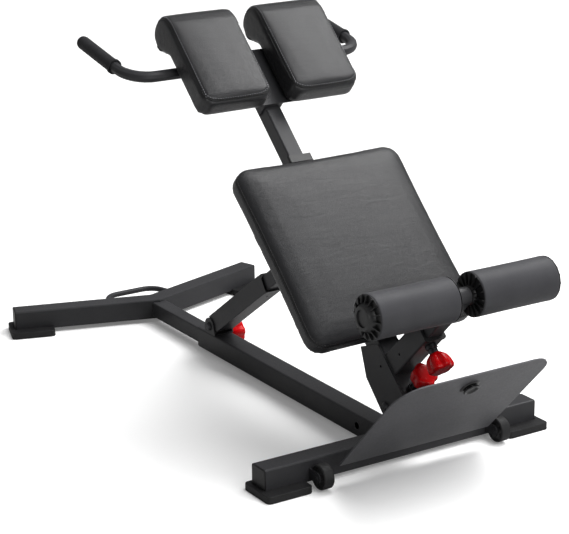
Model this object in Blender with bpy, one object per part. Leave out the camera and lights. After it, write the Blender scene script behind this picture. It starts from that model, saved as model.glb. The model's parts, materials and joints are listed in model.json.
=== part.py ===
"""Hyperextension bench: a folding steel frame with a seat pad, sliding hip pads, foam ankle rollers and a foot plate.

The floor is z = 0, +X points to the foot plate, and the bench is symmetric about y = 0 apart from one pull knob.
Left is -Y. Stations run up the incline from its pivot, and heights stand off the incline tube's centre line.
"""

import math

import bmesh
import bpy
from mathutils import Matrix, Vector

# Clearances
GAP = 0.0003  # between faces that rest on each other
SLIDE_FIT = 0.0004  # between a sliding tube and its bush
RUNNING_FIT = 0.00005  # between a turning shaft and its bore
SIDE_PLAY = 0.0006  # beside a piece that swings between two ears
OVERCUT = 0.004  # how far a cutting shape runs past the wall it cuts

# Square steel tubes
TUBE = 0.050
TUBE_WALL = 0.0025
TUBE_CORNER = 0.0035
POST = 0.038
POST_WALL = 0.0025
POST_CORNER = 0.003
STRUT = 0.045
STRUT_ROD = 0.036

# Floor frame
FLOOR_TUBE_GAP = 0.010  # from the floor to the tubes
STABILISER_LENGTH = 0.690
BEAM_REAR_X = -0.803
ACCESS_HOLE_X = -0.120
ACCESS_HOLE_RADIUS = 0.008
REAR_APEX_X = -1.066
REAR_SWEEP = math.radians(17.8)
REAR_ARM_LENGTH = 0.3575
REAR_BEAM_INSERT = 0.240
REAR_TRAVEL = 0.180

# End caps, feet and wheels
CAP_FLANGE = 0.0028
CAP_PLUG = 0.018
FOOT_BEYOND = 0.0115  # past the cap
FOOT_LENGTH = 0.1075
FOOT_FRONT = 0.058
FOOT_REAR = 0.038
FOOT_HEIGHT = 0.016
FOOT_CORNER = 0.009
FOOT_EDGE = 0.003
WHEEL_RADIUS = 0.0270
WHEEL_WIDTH = 0.024
WHEEL_FLOOR_GAP = 0.002
WHEEL_Y = 0.226
WHEEL_TO_STABILISER = 0.0278
WHEEL_AXLE_RADIUS = 0.004
FORK_PLATE = 0.0028
FORK_NOSE = 0.012

# Carry handle behind the rear arms
CARRY_BAR_RADIUS = 0.007
CARRY_SPREAD = 0.102
CARRY_REACH = 0.114
CARRY_BEND = 0.042

# Incline
INCLINE_ANGLE = math.radians(43.34)
PIVOT_X = -0.006
PIVOT_HEIGHT = 0.118
PIVOT_DROP = 0.048
PIVOT_BOLT_RADIUS = 0.006
BRACKET_PLATE = 0.005
BRACKET_NOSE = 0.016
BRACKET_FOOT = 0.021
INCLINE_TOP = 0.570
INCLINE_COLLAR = 0.060
INCLINE_COLLAR_LENGTH = 0.018
SIDE_PLATE = 0.0045
SIDE_PLATE_FRONT_STATION = 0.110
SIDE_PLATE_REAR_STATION = 0.140
SIDE_PLATE_REAR_DROP = 0.0355
SIDE_PLATE_KNEE_STATION = 0.081
SIDE_PLATE_KNEE_DROP = 0.067
SIDE_PLATE_NOSE = 0.0223
SIDE_PLATE_HOLE_STATION = 0.071
SIDE_PLATE_HOLE_RADIUS = 0.003

# Foot plate
FOOT_PLATE_STATION = -0.0978
FOOT_PLATE_THICKNESS = 0.003
FOOT_PLATE_WIDTH = 0.382
FOOT_PLATE_BELOW = 0.056
FOOT_PLATE_ABOVE = 0.258
FOOT_PLATE_TOP_CORNER = 0.058
FOOT_PLATE_LOW_CORNER = 0.004
BUMPER_HEIGHT = 0.2055
BUMPER_RADIUS = 0.021
BUMPER_DEPTH = 0.010

# Seat pad and its board
SEAT_STATION = 0.107
SEAT_LENGTH = 0.441
SEAT_WIDTH = 0.419
SEAT_CORNER = 0.035
SEAT_DRAW = 0.003
SEAT_SEAM = 0.0345
SEAT_THICKNESS = 0.053
BOARD = 0.0117
BOARD_MARGIN = 0.034
BOARD_CORNER = 0.030

# Ankle roller sleeve and arm
SLEEVE_STATION = 0.0597
SLEEVE_LEAN = math.radians(1.66)
SLEEVE_TOP = 0.168
SLEEVE_COLLAR = 0.053
SLEEVE_COLLAR_LENGTH = 0.008
SLEEVE_HOLE = 0.072
ROLLER_REACH = 0.3065
ARM_INSERT = 0.092
ROLLER_PIN = 0.150
ARM_EYE_RADIUS = 0.0182
ARM_EYE_INSET = 0.0006
AXLE_RADIUS = 0.008
AXLE_HALF = 0.2262
FOAM_RADIUS = 0.0465
FOAM_INNER = 0.0280
FOAM_OUTER = 0.2183
FOAM_EDGE = 0.003
SPIGOT_RADIUS = 0.018
SPIGOT_LENGTH = 0.030
ROLLER_FLANGE = 0.006
HUB_RADIUS = 0.031
OUTER_HUB = 0.0090
INNER_HUB = 0.0022
HUB_DISH_RADIUS = 0.0205
HUB_DISH_DEPTH = 0.003
FIN_COUNT = 12
POCKET_OUTER = 0.0430
POCKET_DEPTH = 0.0045

# Strut
STRUT_PIVOT_X = -0.747
STRUT_PIVOT_HEIGHT = 0.079
STRUT_BOLT_RADIUS = 0.006
STRUT_LENGTH = 0.290
STRUT_NOSE = 0.0138
STRUT_HEEL = 0.020
STRUT_SOCKET = 0.036
STRUT_COLLAR = 0.046
STRUT_COLLAR_LENGTH = 0.010
STRUT_ROD_INSERT = 0.105
STRUT_ROD_BEYOND = 0.010
STRUT_EAR = 0.003
STRUT_EAR_NOSE = 0.021
STRUT_EAR_FOOT = 0.025
STRUT_HOLE = 0.262
LUG_STATION = 0.4073
LUG_DROP = 0.058
LUG_PLATE = 0.004
LUG_NOSE = 0.019
LUG_FOOT = 0.028
LUG_BOLT_RADIUS = 0.005
LUG_PLAY = 0.0062  # the strut's top follows an arc that its two joints only come close to

# Hip pads, their carrier, post and handlebar
POST_FOOT_STATION = -0.046
POST_HOLE_SPACING = 0.025
POST_HOLES = 3
HANDLE_STATION = 0.8472
HANDLE_HEIGHT = 0.0155
HANDLE_RADIUS = 0.0125
HANDLE_SPREAD = 0.302
HANDLE_BEND = 0.060
HANDLE_RISE = math.radians(11.5)
GRIP_START = 0.076
GRIP_LENGTH = 0.166
GRIP_RADIUS = 0.0155
GRIP_COLLAR_RADIUS = 0.0175
GRIP_COLLAR = 0.007
CARRIER_PLATE = 0.003
CARRIER_WIDTH = 0.190
CARRIER_STATION = 0.724
CARRIER_LENGTH = 0.148
CHEEK_PLATE = 0.004
CHEEK_DROP = 0.030
HIP_STATION = 0.7102
HIP_LENGTH = 0.264
HIP_WIDTH = 0.178
HIP_CHANNEL = 0.050
HIP_FLAT = 0.172
HIP_LIP = 0.208
HIP_LIP_HEIGHT = 0.001
HIP_FACE_HEIGHT = 0.0915
HIP_CROWN = 0.004
HIP_HEEL = 0.018
HIP_NOSE = 0.045
HIP_CHIN = 0.040
HIP_END_EDGE = 0.014
HIP_TOP_EDGE = 0.012
HIP_LOW_EDGE = 0.010

# Pull knobs
PIN_RADIUS = 0.005
PIN_HOLE_PLAY = 0.0006
BARREL_RADIUS = 0.0100
BARREL_NUT = 0.0125
BARREL_NUT_HEIGHT = 0.009
KNOB_HEIGHT = 0.0395
KNOB_RADIUS = 0.0282
KNOB_NECK = 0.0135
KNOB_LOBES = 6
KNOB_LOBE_DEPTH = 0.0030
POST_PIN_STATION = -0.0053
POST_BARREL = 0.0290
ROLLER_BARREL = 0.0205
BEAM_BARREL = 0.0220
BEAM_PIN_X = -0.788

# Roundness
ROUND_STEPS = 24
CORNER_STEPS = 2
FINE_STEPS = 30
BOLT_STEPS = 16
SHARP_ANGLE = math.radians(38)

# Values that follow from the sizes above
BASE_HEIGHT = FLOOR_TUBE_GAP + TUBE / 2
WHEEL_X = TUBE / 2 + WHEEL_TO_STABILISER
WHEEL_HEIGHT = WHEEL_FLOOR_GAP + WHEEL_RADIUS
FOOT_PLATE_BACK = FOOT_PLATE_STATION + FOOT_PLATE_THICKNESS + GAP
PLATE_Y = TUBE / 2 + GAP
SEAT_UNDERSIDE = TUBE / 2 + BOARD + 2 * GAP
HIP_UNDERSIDE = HANDLE_HEIGHT + HANDLE_RADIUS + CARRIER_PLATE + 2 * GAP
SIDES = {"left": -1, "right": 1}


def incline_world(station, height):
    """World X and Z, seen from the stabiliser, of a point on the incline."""
    out = height + PIVOT_DROP
    x = PIVOT_X - math.cos(INCLINE_ANGLE) * station + math.sin(INCLINE_ANGLE) * out
    z = PIVOT_HEIGHT + math.sin(INCLINE_ANGLE) * station + math.cos(INCLINE_ANGLE) * out
    return x, z


def incline_point(station, height, y=0.0):
    """The same point in the incline's own axes, whose X runs down the incline."""
    return Vector((-station, y, height + PIVOT_DROP))


def bench_centre():
    """X of the middle of the bench's length, between the foot plate's top and the rear feet."""
    front = incline_world(FOOT_PLATE_STATION, FOOT_PLATE_ABOVE)[0]
    rear_out = REAR_ARM_LENGTH + CAP_FLANGE + FOOT_BEYOND
    rear = REAR_APEX_X - rear_out * math.sin(REAR_SWEEP) - FOOT_REAR * math.cos(REAR_SWEEP)
    return (front + rear) / 2


def strut_reach():
    """Length and rise of the line from the strut's lower pivot to its lug."""
    top_x, top_z = incline_world(LUG_STATION, -LUG_DROP)
    run = top_x - STRUT_PIVOT_X
    rise = top_z - STRUT_PIVOT_HEIGHT
    return math.hypot(run, rise), math.atan2(rise, run)


def clear_scene():
    for obj in list(bpy.data.objects):
        bpy.data.objects.remove(obj)


def finish(name, colour, roughness, metallic=0.0):
    """A material, made once for each name."""
    made = bpy.data.materials.get(name)
    if made:
        return made
    made = bpy.data.materials.new(name)
    made.use_nodes = True
    shader = made.node_tree.nodes["Principled BSDF"]
    shader.inputs["Base Color"].default_value = (*colour, 1.0)
    shader.inputs["Roughness"].default_value = roughness
    shader.inputs["Metallic"].default_value = metallic
    return made


def frame_finish():
    return finish("powder_coat", (0.028, 0.028, 0.031), 0.42, 0.2)


def plastic_finish():
    return finish("black_plastic", (0.014, 0.014, 0.015), 0.45)


def rubber_finish():
    return finish("black_rubber", (0.018, 0.018, 0.018), 0.75)


def vinyl_finish():
    return finish("black_vinyl", (0.020, 0.020, 0.022), 0.38)


def foam_finish():
    return finish("grey_foam", (0.035, 0.035, 0.038), 0.62)


def steel_finish():
    return finish("black_zinc", (0.05, 0.05, 0.055), 0.35, 0.9)


def knob_finish():
    return finish("red_plastic", (0.72, 0.018, 0.022), 0.32)


def empty(name, parent=None, location=(0, 0, 0), rotation=(0, 0, 0)):
    made = bpy.data.objects.new(name, None)
    made.empty_display_size = 0.03
    made.location = location
    made.rotation_euler = rotation
    made.parent = parent
    bpy.context.scene.collection.objects.link(made)
    return made


def piece(name, mesh, material, parent, location=(0, 0, 0), rotation=(0, 0, 0)):
    """A visible object with its own material slot, shaded smooth up to its sharp edges."""
    made = bpy.data.objects.new(name, mesh)
    made.location = location
    made.rotation_euler = rotation
    made.parent = parent
    mesh.materials.append(material)
    mesh.shade_smooth()
    mesh.set_sharp_from_angle(angle=SHARP_ANGLE)
    bpy.context.scene.collection.objects.link(made)
    return made


def tool(name, mesh, parent, location=(0, 0, 0), rotation=(0, 0, 0)):
    """A hidden shape for a Boolean."""
    made = bpy.data.objects.new(name, mesh)
    made.location = location
    made.rotation_euler = rotation
    made.parent = parent
    made.hide_render = True
    made.display_type = "WIRE"
    bpy.context.scene.collection.objects.link(made)
    return made


def boolean(target, shape, operation="DIFFERENCE"):
    change = target.modifiers.new(shape.name, "BOOLEAN")
    change.operation = operation
    change.solver = "EXACT"
    change.object = shape


def bevel(target, width, segments=2):
    """Rounds the sharp edges."""
    change = target.modifiers.new("edge_round", "BEVEL")
    change.width = width
    change.segments = segments
    change.limit_method = "ANGLE"
    change.angle_limit = SHARP_ANGLE


def mesh_of(name, shape):
    """A mesh from a bmesh, with its doubles merged and its faces pointing out."""
    bmesh.ops.remove_doubles(shape, verts=shape.verts, dist=1e-6)
    bmesh.ops.recalc_face_normals(shape, faces=shape.faces)
    made = bpy.data.meshes.new(name)
    shape.to_mesh(made)
    shape.free()
    return made


def along(axis, u, v, w):
    """The point whose w runs along the axis, with u and v on the next two axes in turn."""
    return {"X": Vector((w, u, v)), "Y": Vector((v, w, u)), "Z": Vector((u, v, w))}[axis]


def skin(rings, closed):
    """A bmesh skinned over rings of points. A closed run joins its last ring to its first."""
    shape = bmesh.new()
    rows = [[shape.verts.new(point) for point in ring] for ring in rings]
    pairs = list(zip(rows, rows[1:]))
    if closed:
        pairs.append((rows[-1], rows[0]))
    for low, high in pairs:
        for i in range(len(low)):
            j = (i + 1) % len(low)
            shape.faces.new((low[i], low[j], high[j], high[i]))
    if not closed:
        for row, ring in ((rows[0], rings[0]), (rows[-1], rings[-1])):
            if (ring[0] - ring[1]).length > 1e-6:
                shape.faces.new(row)
    return shape


def circle(radius, steps=ROUND_STEPS):
    turns = [2 * math.pi * i / steps for i in range(steps)]
    return [(radius * math.cos(turn), radius * math.sin(turn)) for turn in turns]


def rounded_square(side, corner):
    """A square section with round corners."""
    points = []
    for quarter in range(4):
        turn = math.pi / 2 * quarter
        centre = Vector((side / 2 - corner, side / 2 - corner))
        centre.rotate(Matrix.Rotation(turn, 2))
        for step in range(CORNER_STEPS + 1):
            angle = turn + math.pi / 2 * step / CORNER_STEPS
            points.append((centre.x + corner * math.cos(angle), centre.y + corner * math.sin(angle)))
    return points


def turned(name, profile, axis, steps=ROUND_STEPS, closed=False):
    """A turned mesh from (radius, distance along the axis) points."""
    rings = [[along(axis, u, v, w) for u, v in circle(radius, steps)] for radius, w in profile]
    return mesh_of(name, skin(rings, closed))


def square_body(name, stations, axis="X", closed=True):
    """A mesh of square sections from (side, corner, distance along the axis) stations."""
    rings = []
    for side, corner, w in stations:
        rings.append([along(axis, u, v, w) for u, v in rounded_square(side, corner)])
    return mesh_of(name, skin(rings, closed))


def tube_mesh(name, side, wall, corner, start, end, axis="X"):
    """A square tube, open at both ends."""
    inner = side - 2 * wall
    inner_corner = max(corner - wall, 0.0008)
    stations = (
        (side, corner, start),
        (side, corner, end),
        (inner, inner_corner, end),
        (inner, inner_corner, start),
    )
    return square_body(name, stations, axis)


def box_mesh(name, low, high):
    outline = ((low[0], low[1]), (high[0], low[1]), (high[0], high[1]), (low[0], high[1]))
    return prism_mesh(name, outline, low[2], high[2], "Z")


def prism_mesh(name, outline, low, high, axis="Y"):
    """An outline of (u, v) points drawn out along an axis. For Y they are Z and X."""
    rings = [[along(axis, u, v, w) for u, v in outline] for w in (low, high)]
    return mesh_of(name, skin(rings, False))


def arc(centre, radius, start, end, steps):
    """Points on an arc, both ends included, with angles in degrees."""
    points = []
    for step in range(steps + 1):
        angle = math.radians(start + (end - start) * step / steps)
        points.append((centre[0] + radius * math.cos(angle), centre[1] + radius * math.sin(angle)))
    return points


def rounded(corners, steps=4):
    """A closed outline from (x, y, radius) corners, each one rounded by an arc."""
    outline = []
    for i, (x, y, radius) in enumerate(corners):
        here = Vector((x, y))
        before = Vector(corners[i - 1][:2]) - here
        after = Vector(corners[(i + 1) % len(corners)][:2]) - here
        half = before.angle(after) / 2
        if radius <= 0:
            outline.append((x, y))
            continue
        cut = radius / math.tan(half)
        first = here + before.normalized() * cut
        last = here + after.normalized() * cut
        middle = here + (before.normalized() + after.normalized()).normalized() * (radius / math.sin(half))
        sweep = (first - middle).angle_signed(last - middle)
        for step in range(steps + 1):
            point = first - middle
            point.rotate(Matrix.Rotation(-sweep * step / steps, 2))
            outline.append(tuple(middle + point))
    return outline


def rounded_path(corners, radius, steps=6):
    """An open path through 3D corners, with each inner corner bent to the radius."""
    path = [corners[0]]
    for before, here, after in zip(corners, corners[1:], corners[2:]):
        to_before = (before - here).normalized()
        to_after = (after - here).normalized()
        half = to_before.angle(to_after) / 2
        middle = here + (to_before + to_after).normalized() * (radius / math.sin(half))
        cut = radius / math.tan(half)
        first = here + to_before * cut - middle
        last = here + to_after * cut - middle
        turn = first.angle(last)
        axis = first.cross(last).normalized()
        for step in range(steps + 1):
            path.append(middle + Matrix.Rotation(turn * step / steps, 3, axis) @ first)
    path.append(corners[-1])
    return path


def bar(name, path, radius, material, parent):
    """A round bar along a path, as a curve with filled ends."""
    curve = bpy.data.curves.new(name, "CURVE")
    curve.dimensions = "3D"
    curve.bevel_depth = radius
    curve.bevel_resolution = 3
    curve.use_fill_caps = True
    spline = curve.splines.new("POLY")
    spline.points.add(len(path) - 1)
    for point, place in zip(spline.points, path):
        point.co = (*place, 1.0)
    curve.materials.append(material)
    made = bpy.data.objects.new(name, curve)
    made.parent = parent
    bpy.context.scene.collection.objects.link(made)
    return made


def running_bore(shaft_radius, steps):
    """Radius of a faceted bore whose flats clear a shaft."""
    return (shaft_radius + RUNNING_FIT) / math.cos(math.pi / steps)


def drill(target, axis, radius, place, half_length, parent, steps=ROUND_STEPS):
    """Cuts a round hole along an axis of the parent, centred on a place there."""
    count = len(target.modifiers)
    profile = ((0, -half_length), (radius, -half_length), (radius, half_length), (0, half_length))
    name = f"{target.name}_drill_{count}"
    shape = tool(name, turned(name, profile, axis, steps), parent, place)
    boolean(target, shape)


def u_bracket(name, inner, plate, reach, nose, foot, eye, parent, location, rotation):
    """A bent bracket: a web on local Z = 0 and two ears up to an eye at the reach. foot is (rear, front)."""
    outer = inner + 2 * plate
    top = reach + nose + OVERCUT
    channel = (
        (-outer / 2, 0),
        (outer / 2, 0),
        (outer / 2, top),
        (inner / 2, top),
        (inner / 2, plate),
        (-inner / 2, plate),
        (-inner / 2, top),
        (-outer / 2, top),
    )
    rear, front = foot
    mesh = prism_mesh(name, channel, -rear - OVERCUT, front + OVERCUT, "X")
    made = piece(name, mesh, frame_finish(), parent, location, rotation)
    shoulder = max(reach - nose, plate * 1.5)
    side = [(-OVERCUT, -rear), (shoulder, -rear)]
    side += arc((reach, 0), nose, -90, 90, 8)
    side += [(shoulder, front), (-OVERCUT, front)]
    shape = tool(
        f"{name}_side",
        prism_mesh(f"{name}_side", side, -outer / 2 - OVERCUT, outer / 2 + OVERCUT),
        parent,
        location,
        rotation,
    )
    boolean(made, shape, "INTERSECT")
    profile = ((0, -outer), (eye, -outer), (eye, outer), (0, outer))
    hole = tool(f"{name}_eye", turned(f"{name}_eye", profile, "Y"), made, (0, 0, reach))
    boolean(made, hole)
    return made


def bolt(name, radius, half_grip, head_radius, head_height, parent, location):
    """A bolt across Y with a button head and a dome nut."""
    edge = head_height * 0.35
    head = ((head_radius, half_grip), (head_radius, half_grip + edge), (head_radius * 0.6, half_grip + head_height))
    profile = [(0, -half_grip - head_height)]
    profile += [(r, -w) for r, w in reversed(head)]
    profile += [(radius, -half_grip), (radius, half_grip)]
    profile += list(head)
    profile += [(0, half_grip + head_height)]
    return piece(name, turned(name, profile, "Y", BOLT_STEPS), steel_finish(), parent, location)


def bush(name, bore, inner, flange, flange_length, parent, location, rotation=(0, 0, 0)):
    """A plastic bush: a sleeve in the end of the outer tube, and a flange over that end."""
    sleeve = bore - 2 * GAP
    hole = inner + 2 * SLIDE_FIT
    depth = inner * 0.8
    stations = (
        (hole, POST_CORNER, -depth),
        (hole, POST_CORNER, flange_length),
        (flange, TUBE_CORNER, flange_length),
        (flange, TUBE_CORNER, GAP),
        (sleeve, POST_CORNER, GAP),
        (sleeve, POST_CORNER, -depth),
    )
    return piece(name, square_body(name, stations), plastic_finish(), parent, location, rotation)


def pull_pin(name, barrel_length, wall_face, inner_face, parent, location, rotation):
    """A barrel on a tube's face and its lobed knob, whose stem stops short of the sliding tube. Local Z points out."""
    base = wall_face + GAP
    bore = PIN_RADIUS + PIN_HOLE_PLAY
    top = wall_face + barrel_length
    profile = (
        (bore, base),
        (BARREL_NUT, base),
        (BARREL_NUT, base + BARREL_NUT_HEIGHT),
        (BARREL_RADIUS, base + BARREL_NUT_HEIGHT),
        (BARREL_RADIUS, top),
        (bore, top),
    )
    barrel = f"{name}_pin_barrel"
    piece(barrel, turned(barrel, profile, "Z", closed=True), steel_finish(), parent, location, rotation)
    low = top + GAP
    body = (
        (PIN_RADIUS, inner_face + GAP, 0),
        (PIN_RADIUS, low, 0),
        (KNOB_NECK, low, 0),
        (KNOB_NECK + 0.005, low + KNOB_HEIGHT * 0.10, 0.3),
        (KNOB_RADIUS - 0.004, low + KNOB_HEIGHT * 0.40, 1),
        (KNOB_RADIUS, low + KNOB_HEIGHT * 0.70, 1),
        (KNOB_RADIUS - 0.001, low + KNOB_HEIGHT * 0.88, 1),
        (KNOB_RADIUS - 0.006, low + KNOB_HEIGHT * 0.98, 0.7),
        (KNOB_RADIUS * 0.4, low + KNOB_HEIGHT, 0),
    )
    rings = []
    for radius, height, lobed in body:
        ring = []
        steps = KNOB_LOBES * 6
        for i in range(steps):
            turn = 2 * math.pi * i / steps
            lobe = KNOB_LOBE_DEPTH * lobed * (1 - abs(math.cos(KNOB_LOBES * turn / 2)))
            ring.append(Vector(((radius - lobe) * math.cos(turn), (radius - lobe) * math.sin(turn), height)))
        rings.append(ring)
    knob = f"{name}_knob"
    piece(knob, mesh_of(knob, skin(rings, False)), knob_finish(), parent, location, rotation)


def foot(name, side, end, parent):
    """A moulded rubber foot with a socket for the tube. Local X runs out along the tube."""
    front = -side * FOOT_FRONT
    rear = side * FOOT_REAR
    out = end + CAP_FLANGE + GAP + FOOT_BEYOND
    low, high = sorted((front, rear))
    inside = out - FOOT_LENGTH
    corners = (
        (inside, low, FOOT_CORNER),
        (out, low, FOOT_CORNER),
        (out, high, FOOT_CORNER),
        (inside, high, FOOT_CORNER),
    )
    mesh = prism_mesh(name, rounded(corners, 3), -BASE_HEIGHT, FOOT_HEIGHT - BASE_HEIGHT, "Z")
    made = piece(name, mesh, rubber_finish(), parent)
    socket = tool(
        f"{name}_socket",
        box_mesh(
            f"{name}_socket",
            (inside - OVERCUT, -TUBE / 2 - GAP, -TUBE / 2 - GAP),
            (end + CAP_FLANGE + 2 * GAP, TUBE / 2 + GAP, 0),
        ),
        parent,
    )
    boolean(made, socket)
    return made


def end_cap(name, end, parent):
    """A plastic plug with a flange over a tube's end."""
    plug = TUBE - 2 * TUBE_WALL - 2 * GAP
    stations = (
        (plug, POST_CORNER, end - CAP_PLUG),
        (plug, POST_CORNER, end + GAP),
        (TUBE, TUBE_CORNER, end + GAP),
        (TUBE, TUBE_CORNER, end + GAP + CAP_FLANGE * 0.6),
        (TUBE - 0.003, TUBE_CORNER, end + GAP + CAP_FLANGE),
    )
    return piece(name, square_body(name, stations, closed=False), plastic_finish(), parent)


def tube_end(name, x, sweep, side, parent):
    """An empty on a floor tube's centre line whose X runs out along it."""
    turn = side * (math.pi / 2 + sweep)
    return empty(name, parent, (x, 0, BASE_HEIGHT), (0, 0, turn))


def front_stabiliser(base):
    half = STABILISER_LENGTH / 2
    mesh = tube_mesh("front_stabiliser", TUBE, TUBE_WALL, TUBE_CORNER, -half, half, "Y")
    piece("front_stabiliser", mesh, frame_finish(), base, (0, 0, BASE_HEIGHT))
    for label, side in SIDES.items():
        end = tube_end(f"front_{label}_line", 0, 0, side, base)
        end_cap(f"stabiliser_cap_{label}", half, end)
        foot(f"front_foot_{label}", side, half, end)


def wheels(base):
    """Two wheels, each between the ears of its fork on the stabiliser's front face."""
    for label, side in SIDES.items():
        y = side * WHEEL_Y
        face = (TUBE / 2 + GAP, y, WHEEL_HEIGHT)
        inner = WHEEL_WIDTH + 2 * SIDE_PLAY
        reach = WHEEL_X - TUBE / 2 - GAP
        fork = u_bracket(
            f"wheel_fork_{label}",
            inner,
            FORK_PLATE,
            reach,
            FORK_NOSE,
            (FORK_NOSE, FORK_NOSE),
            WHEEL_AXLE_RADIUS * 0.5,
            base,
            face,
            (0, math.pi / 2, 0),
        )
        room = box_mesh(
            f"wheel_room_{label}",
            (-WHEEL_RADIUS, -inner / 2, -OVERCUT),
            (WHEEL_RADIUS, inner / 2, FORK_PLATE + OVERCUT),
        )
        boolean(fork, tool(f"wheel_room_{label}", room, fork))
        half = inner / 2 + FORK_PLATE + 0.002
        name = f"wheel_axle_{label}"
        profile = ((0, -half), (WHEEL_AXLE_RADIUS, -half), (WHEEL_AXLE_RADIUS, half), (0, half))
        axle = tool(name, turned(name, profile, "Y"), fork, (0, 0, reach))
        boolean(fork, axle, "UNION")
        half = WHEEL_WIDTH / 2
        bore = running_bore(WHEEL_AXLE_RADIUS, ROUND_STEPS)
        tread = (
            (bore, -half),
            (WHEEL_RADIUS * 0.45, -half),
            (WHEEL_RADIUS * 0.5, -half + 0.002),
            (WHEEL_RADIUS * 0.8, -half + 0.002),
            (WHEEL_RADIUS * 0.85, -half),
            (WHEEL_RADIUS - 0.002, -half),
            (WHEEL_RADIUS, -half + 0.002),
        )
        profile = list(tread) + [(r, -w) for r, w in reversed(tread)]
        name = f"wheel_{label}"
        mesh = turned(name, profile, "Y", FINE_STEPS, closed=True)
        piece(name, mesh, rubber_finish(), base, (WHEEL_X, y, WHEEL_HEIGHT))


def main_beam(base):
    """The outer floor beam, its rear bush and the pull pin that locks the rear beam in it."""
    front = -TUBE / 2 - GAP
    mesh = tube_mesh("main_beam", TUBE, TUBE_WALL, TUBE_CORNER, BEAM_REAR_X, front)
    beam = piece("main_beam", mesh, frame_finish(), base, (0, 0, BASE_HEIGHT))
    drill(beam, "Y", ACCESS_HOLE_RADIUS, (ACCESS_HOLE_X, -TUBE / 2, 0), TUBE_WALL + OVERCUT, beam)
    drill(beam, "Y", PIN_RADIUS + PIN_HOLE_PLAY, (BEAM_PIN_X, TUBE / 2, 0), TUBE_WALL + OVERCUT, beam)
    bore = TUBE - 2 * TUBE_WALL
    place = (BEAM_REAR_X, 0, BASE_HEIGHT)
    rear_bush = bush("beam_bush", bore, POST, TUBE - 0.001, 0.003, base, place, (0, 0, math.pi))
    hole_place = (BEAM_REAR_X - BEAM_PIN_X, -TUBE / 2, 0)
    drill(rear_bush, "Y", PIN_RADIUS + PIN_HOLE_PLAY, hole_place, TUBE_WALL + 2 * OVERCUT, rear_bush)
    place = (BEAM_PIN_X, 0, BASE_HEIGHT)
    pull_pin("beam", BEAM_BARREL, TUBE / 2, POST / 2, base, place, (-math.pi / 2, 0, 0))


def arms_outline(front_gap, rear_gap):
    """The V of the rear arms from above, as (x, y) points grown at its front and rear."""
    reach = REAR_ARM_LENGTH
    half = TUBE / 2
    cos = math.cos(REAR_SWEEP)
    sin = math.sin(REAR_SWEEP)

    def edge(offset, side):
        return (
            REAR_APEX_X - reach * sin + offset * cos,
            side * (reach * cos + offset * sin),
        )

    front = half + front_gap
    rear = -half - rear_gap
    tip_front = (REAR_APEX_X + front / cos, 0)
    tip_rear = (REAR_APEX_X + rear / cos, 0)
    return [edge(front, -1), tip_front, edge(front, 1), edge(rear, 1), tip_rear, edge(rear, -1)]


def rear_base(base):
    """The sliding rear beam with its two swept arms, feet and carry handle."""
    sliding = empty("rear_slide", base)
    start = REAR_APEX_X
    end = BEAM_REAR_X + REAR_BEAM_INSERT
    mesh = tube_mesh("rear_beam", POST, POST_WALL, POST_CORNER, start, end)
    beam = piece("rear_beam", mesh, frame_finish(), sliding, (0, 0, BASE_HEIGHT))
    shape = prism_mesh("arms_room", arms_outline(GAP, TUBE), -TUBE, TUBE, "Z")
    boolean(beam, tool("arms_room", shape, sliding, (0, 0, BASE_HEIGHT)))
    for label, side in SIDES.items():
        line = tube_end(f"rear_{label}_line", REAR_APEX_X, REAR_SWEEP, side, sliding)
        name = f"rear_arm_{label}"
        mesh = tube_mesh(name, TUBE, TUBE_WALL, TUBE_CORNER, -TUBE, REAR_ARM_LENGTH)
        arm = piece(name, mesh, frame_finish(), line)
        far = 4 * TUBE
        low, high = sorted((side * GAP / 2, -side * far))
        room = box_mesh(f"{name}_mitre", (REAR_APEX_X - far, low, 0), (REAR_APEX_X + far, high, TUBE * 2))
        boolean(arm, tool(f"{name}_mitre", room, sliding))
        end_cap(f"rear_cap_{label}", REAR_ARM_LENGTH, line)
        foot(f"rear_foot_{label}", side, REAR_ARM_LENGTH, line)
    carry_handle(sliding)


def carry_handle(sliding):
    """A bent bar behind the arms, square to them where it leaves."""
    cos = math.cos(REAR_SWEEP)
    sin = math.sin(REAR_SWEEP)
    foot_x = REAR_APEX_X - CARRY_SPREAD * math.tan(REAR_SWEEP)
    rear_x = REAR_APEX_X - TUBE / 2 / cos - CARRY_REACH
    out = TUBE / 2 + GAP
    corners = []
    for side in (-1, 1):
        root = Vector((foot_x - out * cos, side * (CARRY_SPREAD - out * sin), BASE_HEIGHT))
        run = (root.x - rear_x) / cos
        bend = root + Vector((-cos, -side * sin, 0)) * run
        corners += [root, bend] if side < 0 else [bend, root]
    path = rounded_path(corners, CARRY_BEND)
    bar("carry_handle", path, CARRY_BAR_RADIUS, frame_finish(), sliding)


def frame_bracket(base):
    """The two ears on the stabiliser that carry the incline, and their bolt."""
    inner = TUBE - 2 * BRACKET_PLATE - 2 * GAP
    top = BASE_HEIGHT + TUBE / 2 + GAP
    u_bracket(
        "frame_bracket",
        inner,
        BRACKET_PLATE,
        PIVOT_HEIGHT - top,
        BRACKET_NOSE,
        (TUBE / 2 + PIVOT_X, TUBE / 2 - PIVOT_X),
        PIVOT_BOLT_RADIUS + GAP,
        base,
        (PIVOT_X, 0, top),
        (0, 0, 0),
    )
    grip = PLATE_Y + SIDE_PLATE + GAP
    bolt("frame_pivot_bolt", PIVOT_BOLT_RADIUS, grip, 0.0105, 0.005, base, (PIVOT_X, 0, PIVOT_HEIGHT))


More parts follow.
